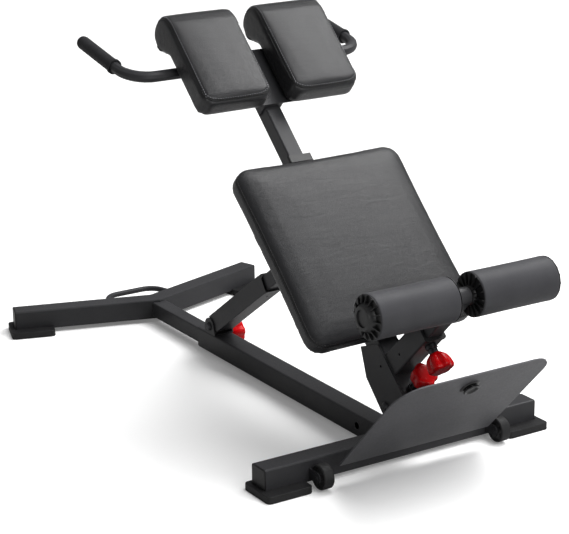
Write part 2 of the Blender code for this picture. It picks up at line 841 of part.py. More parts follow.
def strut_bracket(base):
    """The two ears on the main beam that carry the strut, and their bolt."""
    top = BASE_HEIGHT + TUBE / 2 + GAP
    inner = STRUT + 2 * SIDE_PLAY
    u_bracket(
        "strut_bracket",
        inner,
        STRUT_EAR,
        STRUT_PIVOT_HEIGHT - top,
        STRUT_EAR_NOSE,
        (STRUT_EAR_NOSE, STRUT_EAR_FOOT),
        STRUT_BOLT_RADIUS + GAP,
        base,
        (STRUT_PIVOT_X, 0, top),
        (0, 0, 0),
    )
    grip = inner / 2 + STRUT_EAR + GAP
    place = (STRUT_PIVOT_X, 0, STRUT_PIVOT_HEIGHT)
    bolt("strut_pivot_bolt", STRUT_BOLT_RADIUS, grip, 0.0105, 0.005, base, place)


def strut(base):
    """The telescopic strut, whose X runs up to its lug."""
    reach, rise = strut_reach()
    line = empty("strut_pivot", base, (STRUT_PIVOT_X, 0, STRUT_PIVOT_HEIGHT), (0, -rise, 0))
    half = STRUT / 2
    side = [(-half, STRUT_LENGTH), (-half, STRUT_HEEL)]
    side += arc((0, 0), STRUT_NOSE, 230, 100, 8)
    side += [(half, STRUT_NOSE * 0.5), (half, STRUT_LENGTH)]
    mesh = prism_mesh("strut_tube", side, -half, half)
    outer = piece("strut_tube", mesh, frame_finish(), line)
    bevel(outer, 0.002)
    bore = STRUT - 2 * TUBE_WALL
    room = square_body(
        "strut_room",
        ((bore, 0.001, STRUT_SOCKET), (bore, 0.001, STRUT_LENGTH + OVERCUT)),
        closed=False,
    )
    boolean(outer, tool("strut_room", room, line))
    drill(outer, "Y", running_bore(STRUT_BOLT_RADIUS, ROUND_STEPS), (0, 0, 0), STRUT, line)
    drill(outer, "Z", PIN_RADIUS * 0.6, (STRUT_HOLE, 0, -half), TUBE_WALL + OVERCUT, line, 12)
    bush("strut_bush", bore, STRUT_ROD, STRUT_COLLAR, STRUT_COLLAR_LENGTH, line, (STRUT_LENGTH, 0, 0))
    start = STRUT_LENGTH - STRUT_ROD_INSERT
    end = reach + STRUT_ROD_BEYOND
    mesh = tube_mesh("strut_rod", STRUT_ROD, POST_WALL, POST_CORNER, start, end)
    rod = piece("strut_rod", mesh, frame_finish(), line)
    drill(rod, "Y", LUG_BOLT_RADIUS + GAP, (reach, 0, 0), STRUT, line)
    grip = STRUT_ROD / 2 + SIDE_PLAY + LUG_PLATE + GAP
    bolt("strut_top_bolt", LUG_BOLT_RADIUS, grip, 0.0135, 0.004, line, (reach, 0, 0))


def incline_frame(incline):
    """The incline tube, its collar, side plates and the lug for the strut."""
    mesh = tube_mesh("incline_tube", TUBE, TUBE_WALL, TUBE_CORNER, -INCLINE_TOP, -FOOT_PLATE_BACK)
    tube = piece("incline_tube", mesh, frame_finish(), incline, (0, 0, PIVOT_DROP))
    hole_place = (-POST_PIN_STATION, 0, TUBE / 2)
    drill(tube, "Z", PIN_RADIUS + PIN_HOLE_PLAY, hole_place, TUBE_WALL + OVERCUT, tube)
    bore = TUBE - 2 * TUBE_WALL
    place = incline_point(INCLINE_TOP, 0)
    turn = (0, math.pi, 0)
    bush("incline_bush", bore, POST, INCLINE_COLLAR, INCLINE_COLLAR_LENGTH, incline, place, turn)
    for label, side in SIDES.items():
        side_plate(f"frame_plate_{label}", side, incline)
    place = incline_point(POST_PIN_STATION, 0)
    pull_pin("post", POST_BARREL, TUBE / 2, POST / 2, incline, place, (0, 0, 0))
    u_bracket(
        "strut_lug",
        STRUT_ROD + 2 * SIDE_PLAY,
        LUG_PLATE,
        LUG_DROP - TUBE / 2 - GAP,
        LUG_NOSE,
        (LUG_FOOT, LUG_FOOT),
        LUG_BOLT_RADIUS + LUG_PLAY,
        incline,
        incline_point(LUG_STATION, -TUBE / 2 - GAP),
        (math.pi, 0, 0),
    )


def side_plate(name, side, incline):
    """A steel plate beside the tube that carries it on the frame pivot, as (height, downhill) points."""
    top = TUBE / 2 - 0.0005
    drop = PIVOT_DROP
    low = FOOT_PLATE_BACK + GAP
    outline = [
        (top + drop, -low),
        (top + drop, -SIDE_PLATE_FRONT_STATION),
        (drop - SIDE_PLATE_REAR_DROP, -SIDE_PLATE_REAR_STATION),
        (drop - SIDE_PLATE_KNEE_DROP, -SIDE_PLATE_KNEE_STATION),
    ]
    outline += arc((0, 0), SIDE_PLATE_NOSE, 180, 90, 8)
    outline += [(drop - TUBE / 2, -low)]
    near, far = sorted((side * PLATE_Y, side * (PLATE_Y + SIDE_PLATE)))
    made = piece(name, prism_mesh(name, outline, near, far), frame_finish(), incline)
    bore = running_bore(PIVOT_BOLT_RADIUS, ROUND_STEPS)
    drill(made, "Y", bore, (0, side * PLATE_Y, 0), 2 * SIDE_PLATE, incline)
    hole_place = incline_point(SIDE_PLATE_HOLE_STATION, 0, side * PLATE_Y)
    drill(made, "Y", SIDE_PLATE_HOLE_RADIUS, hole_place, 2 * SIDE_PLATE, incline, 12)


def foot_plate(incline):
    """The flat plate across the incline's lower end, with a dished bumper on its outer side."""
    half = FOOT_PLATE_WIDTH / 2
    corners = (
        (-half, -FOOT_PLATE_BELOW, FOOT_PLATE_LOW_CORNER),
        (half, -FOOT_PLATE_BELOW, FOOT_PLATE_LOW_CORNER),
        (half, FOOT_PLATE_ABOVE, FOOT_PLATE_TOP_CORNER),
        (-half, FOOT_PLATE_ABOVE, FOOT_PLATE_TOP_CORNER),
    )
    mesh = prism_mesh("foot_plate", rounded(corners, 6), -FOOT_PLATE_THICKNESS, 0, "X")
    place = incline_point(FOOT_PLATE_STATION, 0)
    piece("foot_plate", mesh, frame_finish(), incline, place)
    dish = BUMPER_RADIUS * 0.62
    profile = (
        (0, GAP),
        (BUMPER_RADIUS, GAP),
        (BUMPER_RADIUS, BUMPER_DEPTH * 0.7),
        (BUMPER_RADIUS * 0.9, BUMPER_DEPTH),
        (dish, BUMPER_DEPTH),
        (dish * 0.8, BUMPER_DEPTH * 0.45),
        (0, BUMPER_DEPTH * 0.45),
    )
    place = incline_point(FOOT_PLATE_STATION, BUMPER_HEIGHT)
    piece("foot_bumper", turned("foot_bumper", profile, "X"), rubber_finish(), incline, place)


def pad_ring(length, width, corner, draw, inset, height):
    """One level of the seat pad: a rounded rectangle whose sides are drawn in between the corners."""
    half_x = length / 2 - inset
    half_y = width / 2 - inset
    radius = max(corner - inset, 0.002)
    steps = 5
    ring = []
    for quarter in range(4):
        turn = math.pi / 2 * quarter
        sign_x = (1, -1, -1, 1)[quarter]
        sign_y = (1, 1, -1, -1)[quarter]
        middle = (sign_x * (half_x - radius), sign_y * (half_y - radius))
        for step in range(steps + 1):
            angle = turn + math.pi / 2 * step / steps
            ring.append((middle[0] + radius * math.cos(angle), middle[1] + radius * math.sin(angle)))
        ahead = ((-1, 0), (0, -1), (1, 0), (0, 1))[quarter]
        inward = ((0, -1), (1, 0), (0, 1), (-1, 0))[quarter]
        span = 2 * ((half_x if ahead[0] else half_y) - radius)
        start = ring[-1]
        for part in (0.25, 0.5, 0.75):
            pull = draw * 4 * part * (1 - part)
            ring.append(
                (
                    start[0] + ahead[0] * span * part + inward[0] * pull,
                    start[1] + ahead[1] * span * part + inward[1] * pull,
                )
            )
    return [Vector((x, y, height)) for x, y in ring]


def seat(incline):
    """The seat pad with its seam and crown, on a board on the incline tube."""
    middle = SEAT_STATION + SEAT_LENGTH / 2
    half_x = SEAT_LENGTH / 2 - BOARD_MARGIN
    half_y = SEAT_WIDTH / 2 - BOARD_MARGIN
    corners = (
        (-half_x, -half_y, BOARD_CORNER),
        (half_x, -half_y, BOARD_CORNER),
        (half_x, half_y, BOARD_CORNER),
        (-half_x, half_y, BOARD_CORNER),
    )
    mesh = prism_mesh("seat_board", rounded(corners, 3), 0, BOARD, "Z")
    wood = finish("black_board", (0.02, 0.018, 0.016), 0.8)
    piece("seat_board", mesh, wood, incline, incline_point(middle, TUBE / 2 + GAP))
    full = SEAT_THICKNESS
    groove = 0.0022
    levels = (
        (0.0, 0.010),
        (0.003, 0.0025),
        (0.011, 0.0),
        (SEAT_SEAM - 0.0015, 0.0004),
        (SEAT_SEAM, groove),
        (SEAT_SEAM + 0.0015, 0.0),
        (full * 0.78, 0.0015),
        (full * 0.87, 0.007),
        (full * 0.935, 0.019),
        (full * 0.975, 0.046),
        (full, 0.100),
    )
    rings = [
        pad_ring(SEAT_LENGTH, SEAT_WIDTH, SEAT_CORNER, SEAT_DRAW, inset, height)
        for height, inset in levels
    ]
    mesh = mesh_of("seat_pad", skin(rings, False))
    piece("seat_pad", mesh, vinyl_finish(), incline, incline_point(middle, SEAT_UNDERSIDE))


def ankle_rollers(incline):
    """The sleeve on the incline, the sliding arm with its round eye, the axle and the two foam rollers."""
    turn = -(math.pi / 2 - SLEEVE_LEAN)
    sleeve = empty("sleeve_line", incline, incline_point(SLEEVE_STATION, 0), (0, turn, 0))
    foot_at = (TUBE / 2 + GAP) / math.cos(SLEEVE_LEAN) + TUBE / 2 * math.tan(SLEEVE_LEAN)
    mesh = tube_mesh("roller_sleeve", TUBE, TUBE_WALL, TUBE_CORNER, foot_at, SLEEVE_TOP)
    tube = piece("roller_sleeve", mesh, frame_finish(), sleeve)
    drill(tube, "Z", PIN_RADIUS + PIN_HOLE_PLAY, (ROLLER_PIN, 0, -TUBE / 2), TUBE_WALL + OVERCUT, sleeve)
    drill(tube, "Y", SIDE_PLATE_HOLE_RADIUS, (SLEEVE_HOLE, -TUBE / 2, 0), TUBE_WALL + OVERCUT, sleeve, 12)
    bore = TUBE - 2 * TUBE_WALL
    place = (SLEEVE_TOP, 0, 0)
    collar = bush("sleeve_bush", bore, POST, SLEEVE_COLLAR, SLEEVE_COLLAR_LENGTH, sleeve, place)
    hole_place = (ROLLER_PIN, 0, -TUBE / 2)
    drill(collar, "Z", PIN_RADIUS + PIN_HOLE_PLAY, hole_place, TUBE_WALL + 2 * OVERCUT, sleeve)
    place = (ROLLER_PIN, 0, 0)
    pull_pin("roller", ROLLER_BARREL, TUBE / 2, POST / 2, sleeve, place, (math.pi, 0, 0))
    start = SLEEVE_TOP - ARM_INSERT
    mesh = tube_mesh("roller_arm", POST, POST_WALL, POST_CORNER, start, ROLLER_REACH)
    arm = piece("roller_arm", mesh, frame_finish(), sleeve)
    half = POST / 2 - ARM_EYE_INSET
    profile = ((0, -half), (ARM_EYE_RADIUS, -half), (ARM_EYE_RADIUS, half), (0, half))
    mesh = turned("roller_arm_eye", profile, "Y", FINE_STEPS)
    boolean(arm, tool("roller_arm_eye", mesh, sleeve, (ROLLER_REACH, 0, 0)), "UNION")
    drill(arm, "Y", AXLE_RADIUS + GAP, (ROLLER_REACH, 0, 0), POST, sleeve)
    axle = empty("roller_axle_line", sleeve, (ROLLER_REACH, 0, 0))
    profile = ((0, -AXLE_HALF), (AXLE_RADIUS, -AXLE_HALF), (AXLE_RADIUS, AXLE_HALF), (0, AXLE_HALF))
    piece("roller_axle", turned("roller_axle", profile, "Y", FINE_STEPS), steel_finish(), axle)
    for label, side in SIDES.items():
        foam(f"roller_foam_{label}", side, axle)
        roller_cap(f"roller_cap_{label}_outer", side, FOAM_OUTER, 1, OUTER_HUB, axle)
        roller_cap(f"roller_cap_{label}_inner", side, FOAM_INNER, -1, INNER_HUB, axle)


def foam(name, side, axle):
    """A foam tube on the two caps' spigots."""
    bore = SPIGOT_RADIUS + GAP
    low, high = sorted((side * FOAM_INNER, side * FOAM_OUTER))
    profile = (
        (bore, low),
        (FOAM_RADIUS - FOAM_EDGE, low),
        (FOAM_RADIUS, low + FOAM_EDGE),
        (FOAM_RADIUS, high - FOAM_EDGE),
        (FOAM_RADIUS - FOAM_EDGE, high),
        (bore, high),
    )
    mesh = turned(name, profile, "Y", FINE_STEPS, closed=True)
    piece(name, mesh, foam_finish(), axle)


def roller_cap(name, side, foam_end, outward, hub, axle):
    """An end cap: a spigot in the foam, a flange with pockets between fins, and a dished hub."""
    steps = FIN_COUNT * 3
    bore = running_bore(AXLE_RADIUS, steps)
    flange = ROLLER_FLANGE
    face = GAP + flange
    tip = face + hub
    profile = [
        (SPIGOT_RADIUS, -SPIGOT_LENGTH),
        (SPIGOT_RADIUS, GAP),
        (FOAM_RADIUS - 0.001, GAP),
        (FOAM_RADIUS, GAP + 0.001),
        (FOAM_RADIUS - 0.0005, face),
        (POCKET_OUTER, face),
        (HUB_RADIUS, face),
        (HUB_RADIUS - 0.001, tip),
    ]
    blind = outward > 0
    if blind:
        dish = tip - HUB_DISH_DEPTH
        profile += [(HUB_DISH_RADIUS, tip), (HUB_DISH_RADIUS - 0.001, dish), (0, dish)]
        end = AXLE_HALF + GAP - foam_end
        profile = [(0, end), (bore, end), (bore, -SPIGOT_LENGTH)] + profile
    else:
        profile = [(bore, -SPIGOT_LENGTH)] + profile + [(bore, tip)]
    pocket_ring = profile.index((POCKET_OUTER, face))
    rings = []
    for radius, out in profile:
        w = side * (foam_end + outward * out)
        rings.append([along("Y", u, v, w) for u, v in circle(radius, steps)])
    shape = skin(rings, not blind)
    shape.faces.ensure_lookup_table()
    row = [shape.faces[pocket_ring * steps + i] for i in range(steps)]
    push = Vector((0, -side * outward * POCKET_DEPTH, 0))
    for fin in range(FIN_COUNT):
        pocket = row[fin * 3 : fin * 3 + 2]
        made = bmesh.ops.extrude_face_region(shape, geom=pocket)["geom"]
        moved = [item for item in made if isinstance(item, bmesh.types.BMVert)]
        bmesh.ops.translate(shape, vec=push, verts=moved)
        bmesh.ops.delete(shape, geom=pocket, context="FACES_ONLY")
    piece(name, mesh_of(name, shape), plastic_finish(), axle)


def hip_outline():
    """The hip pad's side: flat below, with a roll down its upper end, as (downhill, height) corners."""
    low = HIP_UNDERSIDE
    corners = (
        (0, low, HIP_HEEL),
        (HIP_FLAT, low, 0.020),
        (HIP_LIP, HIP_LIP_HEIGHT, 0.018),
        (HIP_LENGTH, HIP_LIP_HEIGHT, HIP_CHIN),
        (HIP_LENGTH, HIP_FACE_HEIGHT, HIP_NOSE),
        (0, HIP_FACE_HEIGHT, HIP_HEEL),
    )
    return rounded(corners, 3)


def inset_outline(outline, insets):
    """The outline with each point moved inwards along its normal."""
    moved = []
    for i, (x, y) in enumerate(outline):
        before = Vector(outline[i - 1])
        after = Vector(outline[(i + 1) % len(outline)])
        run = (after - before).normalized()
        moved.append((x - run.y * insets[i], y + run.x * insets[i]))
    return moved


def hip_pad(name, side, hip):
    """A hip pad lofted across Y, rounder above than below, with a crowned face."""
    outline = hip_outline()
    half = HIP_WIDTH / 2
    centre = side * (HIP_CHANNEL / 2 + half)
    middle_height = (HIP_UNDERSIDE + HIP_FACE_HEIGHT) / 2
    edges = []
    for x, y in outline:
        at_end = x < HIP_HEEL / 2 or x > HIP_LENGTH - HIP_HEEL
        top = HIP_TOP_EDGE if y > middle_height else HIP_LOW_EDGE
        edges.append(HIP_END_EDGE if at_end else top)
    rings = []
    depths = (0.0, 0.0012, 0.004, 0.012, 0.045)
    places = [-half + depth for depth in depths] + [0.0] + [half - depth for depth in reversed(depths)]
    for y in places:
        depth = half - abs(y)
        insets = []
        for radius in edges:
            short = max(radius - depth, 0)
            insets.append(radius - math.sqrt(radius**2 - short**2))
        section = inset_outline(outline, insets)
        rise = HIP_CROWN * (1 - (y / half) ** 2)
        ring = []
        for x, height in section:
            lift = rise if height > middle_height and x < HIP_LENGTH - 0.05 else 0
            ring.append(Vector((-HIP_STATION - x, centre + y, height + lift + PIVOT_DROP)))
        rings.append(ring)
    piece(name, mesh_of(name, skin(rings, False)), vinyl_finish(), hip)


def hip_assembly(incline):
    """The sliding post with the carrier, the hip pads and the handlebar."""
    hip = empty("hip_slide", incline)
    end = HANDLE_STATION - HANDLE_RADIUS - GAP
    mesh = tube_mesh("hip_post", POST, POST_WALL, POST_CORNER, -end, -POST_FOOT_STATION)
    post = piece("hip_post", mesh, frame_finish(), hip, (0, 0, PIVOT_DROP))
    for hole in range(POST_HOLES):
        station = POST_PIN_STATION + (hole - 1) * POST_HOLE_SPACING
        drill(post, "Z", PIN_RADIUS + PIN_HOLE_PLAY, (-station, 0, POST / 2), POST_WALL + OVERCUT, post)
    carrier(hip)
    for label, side in SIDES.items():
        hip_pad(f"hip_pad_{label}", side, hip)
    handlebar(hip)


def carrier(hip):
    """A plate under both hip pads, with a lip on the post and a cheek on each side of it."""
    under = HANDLE_HEIGHT + HANDLE_RADIUS + GAP
    top = under + CARRIER_PLATE
    on_post = POST / 2 + GAP
    half = CARRIER_WIDTH / 2
    cheek = POST / 2 + GAP
    low = on_post - CHEEK_DROP
    section = (
        (-half, under),
        (-cheek - CHEEK_PLATE, under),
        (-cheek - CHEEK_PLATE, low),
        (-cheek, low),
        (-cheek, on_post),
        (cheek, on_post),
        (cheek, low),
        (cheek + CHEEK_PLATE, low),
        (cheek + CHEEK_PLATE, under),
        (half, under),
        (half, top),
        (-half, top),
    )
    shifted = [(y, height + PIVOT_DROP) for y, height in section]
    start = CARRIER_STATION
    end = CARRIER_STATION + CARRIER_LENGTH
    mesh = prism_mesh("hip_carrier", shifted, -end, -start, "X")
    made = piece("hip_carrier", mesh, frame_finish(), hip)
    room_low = (-end - OVERCUT, -half, low + PIVOT_DROP - OVERCUT)
    room_high = (
        -(HANDLE_STATION - HANDLE_RADIUS - GAP),
        half,
        under + PIVOT_DROP + GAP / 2,
    )
    room = tool("handle_room", box_mesh("handle_room", room_low, room_high), hip)
    boolean(made, room)


def grip_direction():
    """The grips' direction in the incline's axes: rearwards and gently up."""
    turn = INCLINE_ANGLE - HANDLE_RISE
    return Vector((-math.cos(turn), 0, -math.sin(turn)))


def handlebar(hip):
    """A bar across the post's end, bent back at both ends into a grip."""
    way = grip_direction()
    bar_end = GRIP_START + GRIP_LENGTH - GRIP_RADIUS
    corners = []
    for side in (-1, 1):
        bend = incline_point(HANDLE_STATION, HANDLE_HEIGHT, side * HANDLE_SPREAD)
        tip = bend + way * bar_end
        corners += [tip, bend] if side < 0 else [bend, tip]
    path = rounded_path(corners, HANDLE_BEND, 8)
    bar("handlebar", path, HANDLE_RADIUS, frame_finish(), hip)
    bore = HANDLE_RADIUS + GAP
    full = GRIP_LENGTH
    profile = [
        (0, full - GRIP_RADIUS + GAP),
        (bore, full - GRIP_RADIUS + GAP),
        (bore, 0),
        (GRIP_COLLAR_RADIUS, 0),
        (GRIP_COLLAR_RADIUS, GRIP_COLLAR),
        (GRIP_RADIUS, GRIP_COLLAR + 0.001),
    ]
    for step in range(4):
        angle = math.pi / 2 * step / 4
        profile.append((GRIP_RADIUS * math.cos(angle), full - GRIP_RADIUS * (1 - math.sin(angle))))
    profile.append((0, full))
    for label, side in SIDES.items():
        name = f"grip_{label}"
        place = incline_point(HANDLE_STATION, HANDLE_HEIGHT, side * HANDLE_SPREAD) + way * GRIP_START
        rotation = way.to_track_quat("X", "Z").to_euler()
        piece(name, turned(name, profile, "X"), rubber_finish(), hip, place, rotation)


def build():
    clear_scene()
    bench = empty("bench", None, (-bench_centre(), 0, 0))
    front_stabiliser(bench)
    wheels(bench)
    main_beam(bench)
    rear_base(bench)
    frame_bracket(bench)
    strut_bracket(bench)
    strut(bench)
    incline = empty("incline_pivot", bench, (PIVOT_X, 0, PIVOT_HEIGHT), (0, INCLINE_ANGLE, 0))
    incline_frame(incline)
    foot_plate(incline)
    seat(incline)
    ankle_rollers(incline)
    hip_assembly(incline)


build()
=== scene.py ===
"""Dressed scene of a folding hyperextension bench: coatings, upholstery, seams, foam and studio."""

import json
import logging
import math
from dataclasses import dataclass
from enum import Enum

import bmesh
import bpy
import numpy as np
from mathutils import Matrix, Vector, noise

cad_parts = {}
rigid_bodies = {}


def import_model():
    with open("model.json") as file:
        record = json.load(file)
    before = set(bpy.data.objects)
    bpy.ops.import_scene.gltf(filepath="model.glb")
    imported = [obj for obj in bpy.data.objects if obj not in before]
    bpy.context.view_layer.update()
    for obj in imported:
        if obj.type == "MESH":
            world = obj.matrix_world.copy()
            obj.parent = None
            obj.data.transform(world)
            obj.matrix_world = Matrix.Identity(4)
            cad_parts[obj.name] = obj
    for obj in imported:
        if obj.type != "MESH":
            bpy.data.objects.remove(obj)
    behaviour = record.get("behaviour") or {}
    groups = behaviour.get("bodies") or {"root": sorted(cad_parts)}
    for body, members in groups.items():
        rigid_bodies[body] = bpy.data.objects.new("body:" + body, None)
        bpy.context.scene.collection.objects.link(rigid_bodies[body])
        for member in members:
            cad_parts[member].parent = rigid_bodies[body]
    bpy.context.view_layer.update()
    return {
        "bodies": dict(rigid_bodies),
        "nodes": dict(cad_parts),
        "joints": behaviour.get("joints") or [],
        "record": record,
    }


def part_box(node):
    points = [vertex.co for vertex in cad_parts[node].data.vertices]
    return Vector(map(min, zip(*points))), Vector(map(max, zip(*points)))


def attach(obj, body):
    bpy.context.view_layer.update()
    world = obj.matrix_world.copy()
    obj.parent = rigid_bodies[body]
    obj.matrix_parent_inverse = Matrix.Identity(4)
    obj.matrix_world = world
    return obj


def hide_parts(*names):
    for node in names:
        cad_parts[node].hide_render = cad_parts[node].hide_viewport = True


log = logging.getLogger("bench")

Tree = bpy.types.NodeTree
Socket = bpy.types.NodeSocket
Object = bpy.types.Object
Mesh = bpy.types.Mesh
Path = list[Vector]
Triple = tuple[float, float, float]

MM = 0.001
PIVOT_BEHIND_ORIGIN = 0.006
INCLINE_ANGLE = math.radians(43.34)
PIVOT_DROP = 0.048
EASED_ANGLE = math.radians(34)
FLAT_ANGLE = math.radians(0.6)
SAME_POINT = 0.02 * MM
CURVE_STEPS = 3
SIDES = ("left", "right")
CLOUD_SPAN = (0.35, 0.7)
CLOUD_SHARE = 0.8
DUST_SPAN = (0.4, 0.75)
DUST_SHARE = 0.35
SHINE_SPAN = (0.3, 0.7)
CREASE_STRETCH = (1.0, 0.28, 1.0)


class Grain(Enum):
    """The kind of small relief on a finish."""

    FINE = "fine noise, as on a sprayed or moulded surface"
    CELLS = "rounded cells between creases, as on embossed vinyl"
    PORES = "small pits, as on foam skin"


def linear(code: str) -> tuple[float, float, float, float]:
    """Turn an sRGB hex colour into linear values.

    Args:
        code: Six hex digits after a hash sign.

    Returns:
        Red, green, blue and alpha as Blender's sockets take them.
    """
    parts = [int(code[i : i + 2], 16) / 255 for i in (1, 3, 5)]
    parts = [c / 12.92 if c <= 0.04045 else ((c + 0.055) / 1.055) ** 2.4 for c in parts]
    return (*parts, 1.0)


def add_node(tree: Tree, kind: str, inputs: dict | None = None, **settings: object) -> bpy.types.Node:
    """Add a node to a tree with its settings, values and links.

    Args:
        tree: The node tree that takes the node.
        kind: The node's Blender type name.
        inputs: Values or output sockets by input name or index.
        settings: Attributes of the node itself.

    Returns:
        The new node.
    """
    node = tree.nodes.new(kind)
    for name, value in settings.items():
        setattr(node, name, value)
    for name, value in (inputs or {}).items():
        if isinstance(value, Socket):
            tree.links.new(value, node.inputs[name])
        else:
            node.inputs[name].default_value = value
    return node


def feed(
    tree: Tree, kind: str, inputs: dict | None = None, output: str | int = 0, **settings: object
) -> Socket:
    """Add a node, as add_node does, and return the output socket of the given name or index."""
    return add_node(tree, kind, inputs, **settings).outputs[output]


def spread(
    tree: Tree,
    value: Socket,
    start: float,
    end: float,
    low: float = 0.0,
    high: float = 1.0,
    **settings: object,
) -> Socket:
    """Stretch the values between start and end to those between low and high."""
    span = {"Value": value, "From Min": start, "From Max": end, "To Min": low, "To Max": high}
    return feed(tree, "ShaderNodeMapRange", span, **settings)


def specks(tree: Tree, place: Socket, size_mm: float, detail: float, **more: float) -> Socket:
    """Give noise from 0 to 1 whose specks have a size in millimetres."""
    values = {"Vector": place, "Scale": 1000 / size_mm, "Detail": detail, **more}
    return feed(tree, "ShaderNodeTexNoise", values, "Fac")


def relief(tree: Tree, depth_mm: float, height: Socket, **under: Socket) -> Socket:
    """Turn a height pattern into a bumped normal, laid over another normal where one is given."""
    values = {"Strength": 1.0, "Distance": depth_mm * MM, "Height": height, **under}
    return feed(tree, "ShaderNodeBump", values)


@dataclass(frozen=True)
class Finish:
    """One real finish, with its grain and its uneven tone, sized in millimetres."""

    name: str
    colour: str
    worn_colour: str
    roughness: float
    roughness_spread: float
    grain: Grain
    grain_mm: float
    relief_mm: float
    cloud_mm: float = 90.0
    metallic: float = 0.0
    ior: float = 1.5
    sheen: float = 0.0
    specular: float = 0.5
    crease_mm: float = 0.0
    crease_relief_mm: float = 0.0

    def material(self) -> bpy.types.Material:
        """Build the material, or return the one that was built before.

        Returns:
            The material for this finish.
        """
        made = bpy.data.materials.get(self.name)
        if made:
            return made
        made = bpy.data.materials.new(self.name)
        made.use_nodes = True
        tree = made.node_tree
        tree.nodes.clear()
        place = feed(tree, "ShaderNodeTexCoord", output="Object")
        cloud = specks(tree, place, self.cloud_mm, 4.0, Roughness=0.6)
        dust = specks(tree, place, self.grain_mm * 4, 3.0)
        tone = spread(tree, cloud, *CLOUD_SPAN, high=CLOUD_SHARE)
        fleck = spread(tree, dust, *DUST_SPAN, high=DUST_SHARE)
        share = feed(tree, "ShaderNodeMath", {0: tone, 1: fleck}, operation="ADD")
        tones = {0: share, 6: linear(self.colour), 7: linear(self.worn_colour)}
        smoothest, roughest = self.roughness - self.roughness_spread, self.roughness + self.roughness_spread
        normal = relief(tree, self.relief_mm, self.height(tree, place))
        if self.crease_mm:
            normal = self.creased(tree, place, normal)
        surface = {
            "Base Color": feed(tree, "ShaderNodeMix", tones, 2, data_type="RGBA"),
            "Roughness": spread(tree, dust, *SHINE_SPAN, smoothest, roughest),
            "Normal": normal,
            "Metallic": self.metallic,
            "IOR": self.ior,
            "Sheen Weight": self.sheen,
            "Specular IOR Level": self.specular,
        }
        shader = feed(tree, "ShaderNodeBsdfPrincipled", surface)
        add_node(tree, "ShaderNodeOutputMaterial", {"Surface": shader})
        made.diffuse_color = linear(self.colour)
        return made

    def creased(self, tree: Tree, place: Socket, normal: Socket) -> Socket:
        """Lay long soft creases under the grain, running across the bench.

        Args:
            tree: The material's node tree.
            place: The object's own coordinates, in metres.
            normal: The grain's bumped normal.

        Returns:
            A normal that holds both reliefs.
        """
        along = feed(tree, "ShaderNodeMapping", {"Vector": place, "Scale": CREASE_STRETCH})
        crease = specks(tree, along, self.crease_mm, 3.0, Distortion=0.8)
        return relief(tree, self.crease_relief_mm, crease, Normal=normal)

    def height(self, tree: Tree, place: Socket) -> Socket:
        """Make the relief's height pattern.

        Args:
            tree: The material's node tree.
            place: The object's own coordinates, in metres.

        Returns:
            The socket that gives the height from 0 to 1.
        """
        if self.grain is Grain.FINE:
            return specks(tree, place, self.grain_mm, 2.0)
        feature, top = ("DISTANCE_TO_EDGE", 0.25) if self.grain is Grain.CELLS else ("F1", 0.35)
        values = {"Vector": place, "Scale": 1000 / self.grain_mm, "Randomness": 0.9}
        cells = feed(tree, "ShaderNodeTexVoronoi", values, "Distance", feature=feature)
        return spread(tree, cells, 0.0, top, interpolation_type="SMOOTHSTEP")


# Epoxy powder coat on steel, sprayed and baked: an even satin black with a faint orange peel.
POWDER_COAT = Finish(
    "powder_coated_steel", "#2d2d2f", "#353537", 0.42, 0.05, Grain.FINE, 1.1, 0.035,
    cloud_mm=140, specular=0.35,
)
# Painted light: the same coat on the flat foot plate, drawn paler to stand for the light that it catches,
# and duller in patches.
PAINTED_LIGHT_PLATE_COAT = Finish(
    "powder_coated_plate_painted_light", "#505053", "#59595c", 0.45, 0.06, Grain.FINE, 1.2, 0.035,
    cloud_mm=70, specular=0.4,
)
# Zinc-plated bolts, axle and pin barrels, blackened: dark metal with a soft streaky shine.
DARK_ZINC = Finish(
    "blackened_zinc", "#3a3a3c", "#555558", 0.36, 0.08, Grain.FINE, 0.7, 0.02, cloud_mm=9, metallic=1.0
)
# Nylon caps, bushes and wheel inserts, injection moulded: near black with a fine spark-eroded texture.
MOULDED_PLASTIC = Finish(
    "moulded_nylon", "#121213", "#19191a", 0.4, 0.06, Grain.FINE, 0.8, 0.03, cloud_mm=25, ior=1.53
)
# Moulded rubber of the feet and the wheels: dull black, dusty in the hollows.
BLACK_RUBBER = Finish(
    "moulded_rubber", "#131314", "#1b1b1c", 0.6, 0.07, Grain.FINE, 1.0, 0.05, cloud_mm=30, ior=1.52
)
# The foot plate's bumper in polished rubber: jet black, with a hard shine on its rim.
GLOSSY_RUBBER = Finish(
    "polished_rubber", "#0c0c0d", "#151516", 0.24, 0.05, Grain.FINE, 1.0, 0.02, cloud_mm=12, ior=1.52
)
# Foam grips over the handles: a matt skin whose closed cells show as pits.
GRIP_FOAM = Finish(
    "foam_grip", "#202022", "#29292b", 0.75, 0.06, Grain.PORES, 1.4, 0.12, cloud_mm=30, ior=1.45
)
# Embossed polyurethane leather on the seat and pads: grained, satin, with a soft sheen where it stretches.
# The real grain is about half this size, and is drawn coarser so that it shows.
UPHOLSTERY = Finish(
    "embossed_vinyl", "#19191b", "#202022", 0.33, 0.05, Grain.CELLS, 1.7, 0.11,
    cloud_mm=90, sheen=0.04, specular=0.5, crease_mm=18.0, crease_relief_mm=0.48,
)
# Closed-cell rubber foam of the ankle rollers: dark grey, matt, faintly pitted.
ROLLER_FOAM = Finish(
    "nitrile_foam", "#343437", "#3c3c3f", 0.55, 0.06, Grain.PORES, 1.6, 0.08,
    cloud_mm=60, ior=1.45, sheen=0.05, specular=0.4,
)
# The seat's nylon thread: as dark as the vinyl, with a dull twist.
DARK_THREAD = Finish(
    "dark_nylon_thread", "#1c1c1e", "#2a2a2c", 0.6, 0.05, Grain.FINE, 0.5, 0.05, cloud_mm=8, sheen=0.3
)
